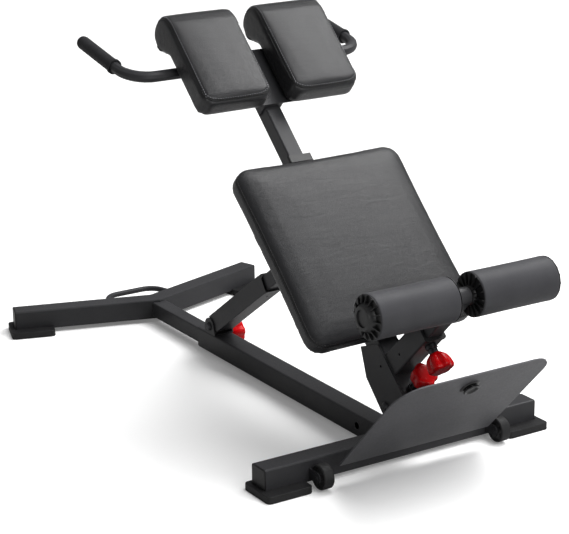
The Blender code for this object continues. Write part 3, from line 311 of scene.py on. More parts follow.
# The hip pads' nylon thread: paler than the seat's, so that its row shows beside the seams.
THREAD = Finish(
    "nylon_thread", "#747478", "#828286", 0.5, 0.05, Grain.FINE, 0.5, 0.05, cloud_mm=8, sheen=0.3
)
# The folded edge of the vinyl in the seams: painted shade, nearly black to stand for the fold's own shade.
PAINTED_SEAM_SHADE_VINYL = Finish("folded_vinyl_painted_shade", "#070708", "#0b0b0c", 0.45, 0.05, Grain.FINE, 1.0, 0.05, cloud_mm=20)
# Glossy red polypropylene knobs, moulded: saturated, with a smooth shine and soft tone changes.
RED_PLASTIC = Finish(
    "red_polypropylene", "#b60309", "#c60910", 0.24, 0.05, Grain.FINE, 2.5, 0.02, cloud_mm=18, specular=0.25
)
# Plywood under the seat, backed with black non-woven cloth: fibrous and quite matt.
BACKED_BOARD = Finish(
    "cloth_backed_plywood", "#121213", "#1b1b1b", 0.85, 0.05, Grain.FINE, 1.3, 0.12, cloud_mm=20, ior=1.45
)
# Galvanised staples that hold the cover under the board.
STAPLE_WIRE = Finish(
    "galvanised_wire", "#8c8c8f", "#a3a3a6", 0.35, 0.05, Grain.FINE, 0.6, 0.02, cloud_mm=6, metallic=1.0
)
# Weld beads under the same coat: glossier on the ripples.
WELD_COAT = Finish("coated_weld", "#272729", "#2f2f31", 0.38, 0.06, Grain.FINE, 0.9, 0.05, cloud_mm=12)


def joint(frame: dict, name: str) -> dict:
    """Find a joint in the loaded model by its name."""
    return next(row for row in frame["record"]["behaviour"]["joints"] if row["name"] == name)


def incline_matrix(frame: dict) -> Matrix:
    """Find the folding incline's own frame: X runs down the incline and Z leaves its face."""
    pivot = Vector(joint(frame, "incline_fold")["pos_m"])
    return Matrix.Translation(pivot) @ Matrix.Rotation(INCLINE_ANGLE, 4, "Y")


def linked(name: str, data: bpy.types.ID) -> Object:
    """Make an object and link it to the scene.

    Args:
        name: The object's name.
        data: Its mesh, camera or light.

    Returns:
        The new object.
    """
    made = bpy.data.objects.new(name, data)
    bpy.context.scene.collection.objects.link(made)
    return made


def mesh_from(shape: bmesh.types.BMesh, name: str) -> Mesh:
    """Turn a shape's faces outward and keep it as a mesh.

    Args:
        shape: The shape, which is freed.
        name: The mesh's name.

    Returns:
        The new mesh.
    """
    bmesh.ops.recalc_face_normals(shape, faces=shape.faces)
    mesh = bpy.data.meshes.new(name)
    shape.to_mesh(mesh)
    shape.free()
    return mesh


def merged_copy(source: Object, name: str) -> Mesh:
    """Copy a solid's mesh and join its loose triangles.

    Args:
        source: The solid's object.
        name: The new mesh's name.

    Returns:
        A closed mesh with shared vertices.
    """
    mesh = source.data.copy()
    mesh.name = name
    mesh.materials.clear()
    shape = bmesh.new()
    shape.from_mesh(mesh)
    bmesh.ops.remove_doubles(shape, verts=shape.verts, dist=SAME_POINT)
    bmesh.ops.dissolve_limit(shape, angle_limit=FLAT_ANGLE, verts=shape.verts, edges=shape.edges)
    shape.to_mesh(mesh)
    shape.free()
    return mesh


def mesh_rows(mesh: Mesh, what: str = "co") -> np.ndarray:
    """Read a vector of each vertex of a mesh.

    Args:
        mesh: The mesh to read.
        what: "co" for the places or "normal" for the normals.

    Returns:
        One row for each vertex.
    """
    flat = np.empty(len(mesh.vertices) * 3)
    mesh.vertices.foreach_get(what, flat)
    return flat.reshape(-1, 3)


def set_points(mesh: Mesh, points: np.ndarray) -> None:
    """Write vertex places back to a mesh."""
    mesh.vertices.foreach_set("co", points.reshape(-1))
    mesh.update()


def swung(vectors: np.ndarray, matrix: Matrix) -> np.ndarray:
    """Turn rows of vectors by a matrix's rotation."""
    return vectors @ np.array(matrix)[:3, :3].T


def carried(points: np.ndarray, matrix: Matrix) -> np.ndarray:
    """Carry rows of points through a matrix."""
    return swung(points, matrix) + np.array(matrix)[:3, 3]


def evened(mesh: Mesh, values: np.ndarray, rounds: int) -> np.ndarray:
    """Average rows of values over each vertex's neighbours.

    Args:
        mesh: The mesh whose edges join the vertices.
        values: One row of values for each vertex.
        rounds: How many times to average.

    Returns:
        The smoother rows.
    """
    ends = np.empty(len(mesh.edges) * 2, dtype=np.int32)
    mesh.edges.foreach_get("vertices", ends)
    a, b = ends.reshape(-1, 2).T
    size = len(values)
    count = np.maximum(np.bincount(ends, minlength=size), 1)[:, None]
    for _ in range(rounds):
        total = [np.bincount(a, row[b], size) + np.bincount(b, row[a], size) for row in values.T]
        values = 0.5 * values + 0.5 * np.column_stack(total) / count
    return values


def ripple(points: np.ndarray, size: float, seed: float) -> np.ndarray:
    """Sample smooth noise, from about -1 to 1, at rows of points in metres."""
    return np.array([noise.noise(Vector(p) / size + Vector((seed, seed * 0.7, -seed))) for p in points])


def through(points: tuple[tuple[float, ...], ...], steps: int) -> list[tuple[float, ...]]:
    """Draw a smooth curve through a few points.

    Args:
        points: The points, in order.
        steps: How many steps lie between two points.

    Returns:
        The curve's points, with the first and last kept.
    """
    rows = np.array([points[0], *points, points[-1]], dtype=float)
    curve = []
    for i in range(1, len(rows) - 2):
        before, here, there, after = rows[i - 1 : i + 3]
        slope = there - before
        bend = 2 * before - 5 * here + 4 * there - after
        twist = 3 * here - before - 3 * there + after
        for step in range(steps):
            t = step / steps
            curve.append(0.5 * (2 * here + slope * t + bend * t**2 + twist * t**3))
    curve.append(rows[-1])
    return [tuple(row) for row in curve]


def eased_path(path: Path, rounds: int, closed: bool) -> Path:
    """Even out a path by averaging each point with its neighbours.

    Args:
        path: The path's points.
        rounds: How many times to average.
        closed: Whether the last point joins the first.

    Returns:
        The evened points.
    """
    rows = np.array([tuple(p) for p in path])
    for _ in range(rounds):
        mean = (np.roll(rows, 1, axis=0) + 2 * rows + np.roll(rows, -1, axis=0)) / 4
        if not closed:
            mean[0], mean[-1] = rows[0], rows[-1]
        rows = mean
    return [Vector(row) for row in rows]


def cut_loops(mesh: Mesh, point: Vector, normal: Vector, fewest: int = 9) -> list[Path]:
    """Cut a mesh by a plane and return the cut as ordered loops.

    Args:
        mesh: The mesh to cut; it isn't changed.
        point: A point on the plane.
        normal: The plane's normal.
        fewest: The number of points below which a loop is left out.

    Returns:
        The points of each loop, in order.
    """
    shape = bmesh.new()
    shape.from_mesh(mesh)
    geometry = list(shape.verts) + list(shape.edges) + list(shape.faces)
    cut = bmesh.ops.bisect_plane(shape, geom=geometry, plane_co=point, plane_no=normal)["geom_cut"]
    links: dict = {}
    for edge in cut:
        if isinstance(edge, bmesh.types.BMEdge):
            a, b = edge.verts
            links.setdefault(a, []).append(b)
            links.setdefault(b, []).append(a)
    loops, seen = [], set()
    for start in links:
        if start in seen:
            continue
        loop, here, before = [], start, None
        while here is not None and here not in seen:
            seen.add(here)
            loop.append(here.co.copy())
            onward = [v for v in links[here] if v is not before and v not in seen]
            here, before = (onward[0] if onward else None), here
        if len(loop) >= fewest:
            loops.append(loop)
    shape.free()
    return loops


def kept_runs(loop: Path, flags: list[bool], fewest: int = 4) -> list[Path]:
    """Keep the runs of a closed loop whose points are flagged.

    Args:
        loop: The loop's points.
        flags: Whether each point is kept.
        fewest: The number of points below which a run is left out.

    Returns:
        The runs, in order.
    """
    if all(flags):
        return [loop]
    first = flags.index(False)
    runs: list[Path] = [[]]
    for i in range(len(loop)):
        at = (first + i) % len(loop)
        if flags[at]:
            runs[-1].append(loop[at])
        else:
            runs.append([])
    return [run for run in runs if len(run) >= fewest]


def start_group(name: str, **sorts: str) -> tuple[Tree, bpy.types.bpy_prop_collection]:
    """Start a geometry node group that takes a path, a finish and its own named inputs.

    Args:
        name: The group's name.
        sorts: The type of each further input by its name.

    Returns:
        The group and the sockets of its inputs.
    """
    tree = bpy.data.node_groups.new(name, "GeometryNodeTree")
    for label, sort in {"Path": "Geometry", **sorts, "Finish": "Material"}.items():
        tree.interface.new_socket(label, in_out="INPUT", socket_type="NodeSocket" + sort)
    tree.interface.new_socket("Pieces", in_out="OUTPUT", socket_type="NodeSocketGeometry")
    return tree, add_node(tree, "NodeGroupInput").outputs


def finish_group(tree: Tree, shapes: Socket, finish: Socket, smooth: bool = True) -> None:
    """End a geometry node group: real meshes, smooth where asked for, with their finish.

    Args:
        tree: The node group.
        shapes: The socket of what was made.
        finish: The socket of the material.
        smooth: Whether the faces are shaded smooth.
    """
    real = feed(tree, "GeometryNodeRealizeInstances", {"Geometry": shapes})
    if smooth:
        real = feed(tree, "GeometryNodeSetShadeSmooth", {"Geometry": real})
    dressed = feed(tree, "GeometryNodeSetMaterial", {"Geometry": real, "Material": finish})
    add_node(tree, "NodeGroupOutput", {"Pieces": dressed})


def stepped(tree: Tree, path: Socket, step: Socket) -> Socket:
    """Turn a path's edges into a curve whose points stand a step apart."""
    line = feed(tree, "GeometryNodeMeshToCurve", {"Mesh": path})
    return feed(tree, "GeometryNodeResampleCurve", {"Curve": line, "Length": step}, mode="LENGTH")


def grown(name: str, paths: list[Path], closed: bool, tree: Tree, values: dict) -> Object:
    """Run a node group on paths and keep its result as a plain mesh.

    Args:
        name: The new object's name.
        paths: Each path's points, in the scene's frame; a single point stands for itself.
        closed: Whether each path's last point joins its first.
        tree: The node group.
        values: The group's inputs by name.

    Returns:
        The new object, with no modifier on it.
    """
    mesh = bpy.data.meshes.new(name + "_path")
    points, edges = [], []
    for path in paths:
        first = len(points)
        points += [tuple(p) for p in path]
        edges += [(first + i, first + i + 1) for i in range(len(path) - 1)]
        if closed:
            edges.append((first + len(path) - 1, first))
    mesh.from_pydata(points, edges, [])
    holder = linked(name + "_path", mesh)
    modifier = holder.modifiers.new("grow", "NODES")
    modifier.node_group = tree
    for item in tree.interface.items_tree:
        if item.name in values:
            modifier[item.identifier] = values[item.name]
    graph = bpy.context.evaluated_depsgraph_get()
    result = bpy.data.meshes.new_from_object(holder.evaluated_get(graph), depsgraph=graph)
    result.name = name
    bpy.data.objects.remove(holder)
    bpy.data.meshes.remove(mesh)
    return linked(name, result)


@dataclass
class BeadRun:
    """Small shapes repeated along a path by one node tree: stitches, weld ripples, teeth or staples."""

    name: str
    spacing: float
    size: Triple
    finish: Finish
    shape_rings: int = 4
    shape_sides: int = 6
    seed: int = 3
    wander: float = 0.0

    def tree(self) -> Tree:
        """Build the node tree, with named inputs for its sizes.

        Returns:
            The node group that turns edges into a row of shapes.
        """
        sorts = {"Spacing": "Float", "Size": "Vector", "Wander": "Float", "Seed": "Int"}
        tree, given = start_group(self.name + "_along_path", **sorts)
        run = stepped(tree, given["Path"], given["Spacing"])
        ball = {"Segments": self.shape_sides, "Rings": self.shape_rings, "Radius": 0.5}
        along = {"Vector": feed(tree, "GeometryNodeInputTangent")}
        limits = {"Min": (-1.0, -1.0, -1.0), "Max": (1.0, 1.0, 1.0), "Seed": given["Seed"]}
        shift = feed(tree, "FunctionNodeRandomValue", limits, data_type="FLOAT_VECTOR")
        drift = feed(tree, "ShaderNodeVectorMath", {0: shift, "Scale": given["Wander"]}, operation="SCALE")
        placing = {
            "Points": feed(tree, "GeometryNodeSetPosition", {"Geometry": run, "Offset": drift}),
            "Instance": feed(tree, "GeometryNodeMeshUVSphere", ball),
            "Rotation": feed(tree, "FunctionNodeAlignRotationToVector", along, axis="X", pivot_axis="AUTO"),
            "Scale": given["Size"],
        }
        finish_group(tree, feed(tree, "GeometryNodeInstanceOnPoints", placing), given["Finish"])
        return tree

    def lay(self, name: str, paths: list[Path], closed: bool) -> Object:
        """Lay the shapes along paths.

        Args:
            name: The new piece's name.
            paths: Each path's points, in the scene's frame.
            closed: Whether each path's last point joins its first.

        Returns:
            The finished object, with no modifier left on it.
        """
        values = {"Spacing": self.spacing, "Size": self.size, "Wander": self.wander, "Seed": self.seed}
        values["Finish"] = self.finish.material()
        return grown(name, paths, closed, self.tree(), values)


@dataclass
class Welt:
    """A thin folded edge that stands along a seam, drawn in near-black vinyl as painted shade, swept along
    its path by one node tree.
    """

    radius: float = 1.5 * MM
    sides: int = 8
    step: float = 3.0 * MM

    def tree(self) -> Tree:
        """Build the node tree, with named inputs for its sizes.

        Returns:
            The node group that sweeps a round section along edges.
        """
        tree, given = start_group("welt_along_seam", Radius="Float", Step="Float")
        ring = {"Resolution": self.sides, "Radius": given["Radius"]}
        sweep = {
            "Curve": stepped(tree, given["Path"], given["Step"]),
            "Profile Curve": feed(tree, "GeometryNodeCurvePrimitiveCircle", ring),
            "Fill Caps": True,
        }
        finish_group(tree, feed(tree, "GeometryNodeCurveToMesh", sweep), given["Finish"])
        return tree

    def sweep(self, name: str, paths: list[Path], closed: bool) -> Object:
        """Sweep the welt along paths.

        Args:
            name: The piece's name.
            paths: Each path's points, in the scene's frame.
            closed: Whether each path's last point joins its first.

        Returns:
            The finished object, with no modifier left on it.
        """
        # The welt's near-black vinyl is painted shade in the seam.
        values = {"Radius": self.radius, "Step": self.step, "Finish": PAINTED_SEAM_SHADE_VINYL.material()}
        return grown(name, paths, closed, self.tree(), values)


@dataclass(frozen=True)
class Lathe:
    """A way to turn an outline: its steps round, its finger grooves and where edges are drawn sharp.

    A closed outline makes a ring. The ends of an open one are capped beside the axis. The angle from
    which an edge is sharp is in degrees.
    """

    sides: int
    lobes: int = 0
    lobe_depth: float = 0.0
    lobe_width: float = 1.6
    closed: bool = False
    sharp: float = 40.0

    def turned(self, name: str, centre: Vector, axis: Vector, profile: list[tuple[float, ...]]) -> Object:
        """Turn an outline round an axis.

        Args:
            name: The piece's name.
            centre: The point on the axis that heights start from.
            axis: The axis, of length 1.
            profile: (radius, height) pairs, or (radius, height, share of the grooves).

        Returns:
            The turned piece, closed and with its faces outward.
        """
        u = axis.orthogonal().normalized()
        v = axis.cross(u)
        shape = bmesh.new()
        rings = []
        for row in profile:
            ring = []
            for i in range(self.sides):
                turn = 2 * math.pi * i / self.sides
                groove = (0.5 + 0.5 * math.cos(self.lobes * turn)) ** self.lobe_width
                cut = self.lobe_depth * row[2] * groove if self.lobes else 0.0
                spot = u * math.cos(turn) + v * math.sin(turn)
                ring.append(shape.verts.new(centre + spot * (row[0] - cut) + axis * row[1]))
            rings.append(ring)
        if self.closed:
            rings.append(rings[0])
        else:
            shape.faces.new(rings[0])
            shape.faces.new(rings[-1])
        for a, b in zip(rings, rings[1:]):
            for i in range(self.sides):
                j = (i + 1) % self.sides
                shape.faces.new((a[i], a[j], b[j], b[i]))
        mesh = mesh_from(shape, name)
        mesh.shade_smooth()
        mesh.set_sharp_from_angle(angle=math.radians(self.sharp))
        return linked(name, mesh)


@dataclass
class Part:
    """A sub-assembly: it finds its solids, dresses them and reports each piece."""

    frame: dict

    def body(self, node: str) -> str:
        """Name the body that holds a solid."""
        bodies = self.frame["record"]["behaviour"]["bodies"]
        return next(body for body, nodes in bodies.items() if node in nodes)

    def dress(self, finish: Finish, *nodes: str) -> None:
        """Give solids that stay as they are a finish.

        Args:
            finish: The finish to put on them.
            nodes: The solids' names.
        """
        for node in nodes:
            for slot in self.frame["nodes"][node].material_slots:
                slot.link = "OBJECT"
                slot.material = finish.material()
            log.info("%s keeps its shape, finish %s", node, finish.name)

    def add(self, made: Object, like: str, finish: Finish | None = None, stands_for: bool = False) -> None:
        """Place a new piece on its body.

        Args:
            made: The piece's object.
            like: The solid that it rides with.
            finish: The finish, where the mesh has none yet.
            stands_for: Whether the piece takes the solid's place.
        """
        if finish:
            made.data.materials.clear()
            made.data.materials.append(finish.material())
        if stands_for:
            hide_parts(like)
        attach(made, self.body(like))
        log.info("%s rides on %s, %d faces", made.name, self.body(like), len(made.data.polygons))

    def eased(self, finish: Finish, *nodes: str, edge: float) -> None:
        """Replace solids by smooth-shaded copies with eased edges.

        Args:
            finish: The finish to put on them.
            nodes: The solids' names.
            edge: The width of each eased edge, in metres.
        """
        for node in nodes:
            mesh = merged_copy(self.frame["nodes"][node], node + "_finished")
            mesh.shade_smooth()
            mesh.set_sharp_from_angle(angle=EASED_ANGLE)
            made = linked(node + "_finished", mesh)
            soft = made.modifiers.new("edge", "BEVEL")
            soft.width = edge
            soft.segments = 2
            soft.limit_method = "ANGLE"
            soft.angle_limit = EASED_ANGLE
            soft.use_clamp_overlap = True
            self.add(made, node, finish, stands_for=True)


@dataclass
class Cushion(Part):
    """An upholstered pad: foam under embossed vinyl, sewn at its edges and drawn under the board."""

    node: str = ""
    seam_height: float = 0.0
    voxel: float = 4.6 * MM
    held_band: float = 3.0 * MM
    start_smaller: float = 1.6 * MM
    most_swell: float = 2.4 * MM
    pressure: float = 4.0
    pressure_steps: int = 20
    groove_depth: float = 1.9 * MM
    groove_width: float = 3.2 * MM
    groove_reach: float = 40 * MM
    pucker: float = 0.35 * MM
    pucker_length: float = 9 * MM
    billow: float = 0.35 * MM
    billow_length: float = 60 * MM
    flat_face: float = 0.97
    seam_easing: int = 6
    stitch_from_seam: float = 4.6 * MM
    stitch_pitch: float = 6.0 * MM
    stitch_share: float = 0.56
    stitch_width: float = 2.0 * MM
    stitch_height: float = 1.7 * MM
    stitch_wander: float = 0.06 * MM
    soften: int = 2
    tautness: int = 60
    crown: float = 5.0 * MM
    crown_breadth: float = 0.8
    crown_rise: int = 3
    fill: float = 0.85
    seed: float = 4.0
    thread: Finish = THREAD

    def local(self) -> Matrix:
        """Give the incline's frame, in which the cushion is worked."""
        return incline_matrix(self.frame)

    def cover(self) -> Object:
        """Make the filled and sewn cover in the solid's place.

        Returns:
            The cover's object, on its body.
        """
        made = self.skin()
        self.sew(made)
        self.add(made, self.node, UPHOLSTERY, stands_for=True)
        return made

    def skin(self) -> Object:
        """Fill the solid's shape with foam by a short pressure run.

        Returns:
            The cushion's object, still without seams.
        """
        name = self.node + "_cover"
        made = linked(name, merged_copy(self.frame["nodes"][self.node], name))
        even = made.modifiers.new("even", "REMESH")
        even.mode = "VOXEL"
        even.voxel_size = self.voxel
        self.settle(made)
        local = self.local().inverted()
        rest = self.shaped(carried(mesh_rows(made.data), local))
        low = rest[:, 2].min()
        held = rest[:, 2] < low + self.held_band
        rest = np.where(held[:, None], rest, evened(made.data, rest, self.soften))
        set_points(made.data, carried(rest, self.local()))
        normals = swung(mesh_rows(made.data, "normal"), local)
        start = rest - normals * self.start_smaller * np.where(held, 0, 1)[:, None]
        set_points(made.data, carried(start, self.local()))
        self.blow(made, held)
        blown = carried(mesh_rows(made.data), local)
        swell = np.clip(((blown - start) * normals).sum(axis=1), 0, self.most_swell)
        start = start + normals * evened(made.data, swell[:, None], self.tautness)
        start[:, 2] = np.maximum(start[:, 2], low) + self.crowned(start, low)
        set_points(made.data, carried(start, self.local()))
        fine = made.modifiers.new("fine", "SUBSURF")
        fine.levels = fine.render_levels = 1
        self.settle(made)
        made.data.shade_smooth()
        return made

    def shaped(self, points: np.ndarray) -> np.ndarray:
        """Change the cushion's plan before it is filled; a plain cushion keeps it."""
        return points

    def crowned(self, points: np.ndarray, low: float) -> np.ndarray:
        """Work out how far the foam swells each point outward, most at the face's middle.

        Args:
            points: Rows in the incline's frame.
            low: The height of the cushion's underside.

        Returns:
            The rise of each point along the face's normal.
        """
        near, far = points.min(axis=0), points.max(axis=0)
        share = (points - (near + far) / 2) / ((far - near) / 2)
        dome = np.clip(1 - share[:, :2] ** 2, 0, 1) ** self.crown_breadth
        above = np.clip((points[:, 2] - low) / (far[2] - low), 0, 1) ** self.crown_rise
        return self.crown * dome[:, 0] * dome[:, 1] * above

    def blow(self, made: Object, held: np.ndarray) -> None:
        """Run the pressure on the cover, with its underside held on the board.

        Args:
            made: The cushion's object.
            held: A flag for each vertex that can't move.
        """
        group = made.vertex_groups.new(name="board")
        group.add([int(i) for i in np.nonzero(held)[0]], 1.0, "REPLACE")
        cloth = made.modifiers.new("cover", "CLOTH")
        cloth.settings.quality = 4
        cloth.settings.mass = 0.4
        cloth.settings.tension_stiffness = 30
        cloth.settings.compression_stiffness = 30
        cloth.settings.bending_stiffness = 2
        cloth.settings.use_pressure = True
        cloth.settings.uniform_pressure_force = self.pressure
        cloth.settings.effector_weights.gravity = 0
        cloth.settings.vertex_group_mass = group.name
        cloth.collision_settings.use_collision = False
        cloth.point_cache.frame_start = 1
        cloth.point_cache.frame_end = self.pressure_steps
        scene = bpy.context.scene
        for step in range(1, self.pressure_steps + 1):
            scene.frame_set(step)
        self.settle(made)
        scene.frame_set(1)

    def settle(self, made: Object) -> None:
        """Apply an object's modifiers to its mesh.

        Args:
            made: The object, which is left without modifiers.
        """
        graph = bpy.context.evaluated_depsgraph_get()
        old = made.data
        new = bpy.data.meshes.new_from_object(made.evaluated_get(graph), depsgraph=graph)
        made.modifiers.clear()
        made.data = new
        bpy.data.meshes.remove(old)

    def seam_distance(self, points: np.ndarray, normals: np.ndarray) -> np.ndarray:
        """Measure how far each point lies from the nearest seam, in the incline's frame."""
        raise NotImplementedError

    def sew(self, made: Object) -> None:
        """Press the seams into the cover and pucker the vinyl beside them.

        Args:
            made: The cushion's object.
        """
        local = self.local().inverted()
        world = mesh_rows(made.data)
        points = carried(world, local)
        normals = swung(mesh_rows(made.data, "normal"), local)
        away = self.seam_distance(points, normals)
        near = away < self.groove_reach
        pressed = np.zeros(len(points))
        pressed[near] = -self.groove_depth * np.exp(-((away[near] / self.groove_width) ** 2))
        wave = np.zeros(len(points))
        fading = np.exp(-away[near] / self.pucker_length)
        wave[near] = ripple(world[near], self.pucker_length, self.seed) * fading * self.pucker
        broad = ripple(world, self.billow_length, self.seed + 5) * self.billow
        held = points[:, 2] < points[:, 2].min() + self.held_band
        lift = np.where(held, 0, pressed + wave + broad)
        set_points(made.data, carried(points + normals * lift[:, None], self.local()))

    def stitches(self) -> BeadRun:
        """Give the row of stitches that this cushion is sewn with."""
        size = (self.stitch_pitch * self.stitch_share, self.stitch_width, self.stitch_height)
        name = self.node + "_stitches"
        return BeadRun(name, self.stitch_pitch, size, self.thread, wander=self.stitch_wander)

    def slices(self, made: Object, way: Vector, at: float) -> list[Path]:
        """Cut the cover square to one of the incline's axes, at a distance along it."""
        matrix = self.local()
        return cut_loops(made.data, matrix @ (way * at), matrix.to_3x3() @ way)


@dataclass
class SeatCushion(Cushion):
    """The wide seat pad: a face panel sewn to a band all round."""

    node: str = "seat_pad"
    seam_height: float = 0.0718 + PIVOT_DROP
    most_swell: float = 3.2 * MM
    staple_pitch: float = 24 * MM
    staple_size: Triple = (10 * MM, 1.1 * MM, 1.1 * MM)
    staple_wander: float = 0.4 * MM
    staple_inset: float = 16 * MM
    staple_free_end: float = 30 * MM
    staple_sink: float = 0.1 * MM
    thread: Finish = DARK_THREAD

    def seam_distance(self, points: np.ndarray, normals: np.ndarray) -> np.ndarray:
        """Measure each point's distance from the seam round the seat's edge."""
        facing = np.abs(normals[:, 2]) > self.flat_face
        return np.where(facing, 1.0, np.abs(points[:, 2] - self.seam_height))

    def build(self) -> None:
        """Make the seat, its stitches and welt, and the staples under its board."""
        made = self.cover()
        out = Vector((0, 0, 1))
        rows = []
        for shift in (self.stitch_from_seam, -self.stitch_from_seam):
            rows += self.slices(made, out, self.seam_height + shift)
        self.add(self.stitches().lay("seat_stitching", rows, True), self.node)
        loops = self.slices(made, out, self.seam_height)
        seams = [eased_path(loop, self.seam_easing, True) for loop in loops]
        self.add(Welt().sweep("seat_welt", seams, True), self.node)
        self.staple()

    def staple(self) -> None:
        """Drive a row of staples along each long edge of the board's underside."""
        matrix = self.local()
        places = carried(mesh_rows(self.frame["nodes"]["seat_board"].data), matrix.inverted())
        low, high = places.min(axis=0), places.max(axis=0)
        x0 = low[0] + self.staple_inset + self.staple_free_end
        x1 = high[0] - self.staple_inset - self.staple_free_end
        z = low[2] - self.staple_sink
        edges = (low[1] + self.staple_inset, high[1] - self.staple_inset)
        paths = [[matrix @ Vector((x0, y, z)), matrix @ Vector((x1, y, z))] for y in edges]
        pitch, size = self.staple_pitch, self.staple_size
        run = BeadRun("seat_staples", pitch, size, STAPLE_WIRE, wander=self.staple_wander)
        self.add(run.lay("seat_board_staples", paths, False), "seat_board")


@dataclass
class HipCushion(Cushion):
    """One of the two hip pads: a face panel that rolls over the top, between two side panels."""

    seam_height: float = 0.0868 + PIVOT_DROP
    seam_easing: int = 2
    end_stitch_share: float = 0.8
    side_inset: float = 3.6 * MM
    groove_depth: float = 2.4 * MM
    crown: float = 4.0 * MM
    lower_end: float = 0.7102
    band_reach: float = 0.040
    band_corner: float = 12 * MM
    band_fold: float = 2 * MM
    side_panel: float = 20 * MM
    upper_groove: float = 0.19
    upper_seam: float = 0.2
    welt_drop: float = 3 * MM
    low_corner: float = 26 * MM
    high_corner: float = 9 * MM

    def shaped(self, points: np.ndarray) -> np.ndarray:
        """Round the pad's four corners in plan.

        Args:
            points: Rows in the incline's frame.

        Returns:
            The rows, drawn in at the corners.
        """
        middle, half = self.limits(points)
        moved = points.copy()
        side = np.sign(points[:, 1] - middle)
        for edge, way, radius in (
            (points[:, 0].max(), -1, self.low_corner),
            (points[:, 0].min(), 1, self.high_corner),
        ):
            a = radius - (points[:, 0] - edge) * way
            b = radius - (half - np.abs(points[:, 1] - middle))
            corner = (a > 0) & (b > 0)
            scale = np.where(corner, np.maximum(a, b) / np.maximum(np.hypot(a, b), 1e-9), 1.0)
            moved[:, 0] = np.where(corner, edge + way * (radius - a * scale), moved[:, 0])
            moved[:, 1] = np.where(corner, middle + side * (half - radius + b * scale), moved[:, 1])
        return moved

    def limits(self, points: np.ndarray) -> tuple[float, float]:
        """Find the pad's middle and half width across the bench."""
        low, high = points[:, 1].min(), points[:, 1].max()
        return (low + high) / 2, (high - low) / 2

    def seam_distance(self, points: np.ndarray, normals: np.ndarray) -> np.ndarray:
        """Measure each point's distance from the side seams and the seam across the lower end.

        Args:
            points: Rows in the incline's frame.
            normals: The normals of the same points.

        Returns:
            The distances, with 1 metre where no seam is near.
        """
        middle, half = self.limits(points)
        across = np.abs(np.abs(points[:, 1] - middle) - (half - self.side_inset))
        station, height = -points[:, 0] - self.lower_end, points[:, 2]
        over = height > height.min() + self.side_panel
        side = np.where(over | (station > self.upper_groove), across, 1.0)
        folded = (station < self.band_corner) & (height < self.seam_height - self.band_fold)
        side = np.where(folded, 1.0, side)
        band = (station < self.band_reach) & (np.abs(normals[:, 2]) < self.flat_face)
        end = np.where(band, np.abs(height - self.seam_height), 1.0)
        return np.minimum(side, end)

    def build(self) -> None:
        """Make the pad, its rows of stitches and the welts in its seams."""
        made = self.cover()
        middle, half = self.limits(carried(mesh_rows(made.data), self.local().inverted()))
        seam = half - self.side_inset
        stitched = seam - self.stitch_from_seam
        rows = self.side_runs(made, middle, stitched, self.seam_height)
        over_end = self.seam_height + self.stitch_from_seam * self.end_stitch_share
        rows += self.end_runs(made, middle, over_end, stitched)
        self.add(self.stitches().lay(self.node + "_stitching", rows, False), self.node)
        seams = self.side_runs(made, middle, seam, self.seam_height - self.welt_drop)
        seams += self.end_runs(made, middle, self.seam_height)
        seams = [eased_path(run, self.seam_easing, False) for run in seams]
        self.add(Welt().sweep(self.node + "_welt", seams, False), self.node)

    def side_runs(self, made: Object, middle: float, offset: float, lowest: float) -> list[Path]:
        """Follow both sides of the face lengthwise, and round the upper end.

        Args:
            made: The cover.
            middle: The pad's middle across the bench.
            offset: How far from the middle each run lies.
            lowest: The height above which a run is kept.

        Returns:
            The runs' points, in the scene's frame.
        """
        local = self.local().inverted()
        upper = self.lower_end + self.upper_seam
        runs = []
        for side in (-1, 1):
            for loop in self.slices(made, Vector((0, 1, 0)), middle + side * offset):
                spots = [local @ p for p in loop]
                runs += kept_runs(loop, [p.z > lowest or -p.x > upper for p in spots])
        return runs

    def end_runs(self, made: Object, middle: float, height: float, inside: float = math.inf) -> list[Path]:
        """Follow the band across the lower end.

        Args:
            made: The cover.
            middle: The pad's middle across the bench.
            height: The run's height.
            inside: How far from the middle the run may reach.

        Returns:
            The runs' points, in the scene's frame.
        """
        local = self.local().inverted()
        reach = self.lower_end + self.band_reach
        runs = []
        for loop in self.slices(made, Vector((0, 0, 1)), height):
            spots = [local @ p for p in loop]
            runs += kept_runs(loop, [-p.x < reach and abs(p.y - middle) < inside for p in spots])
        return runs


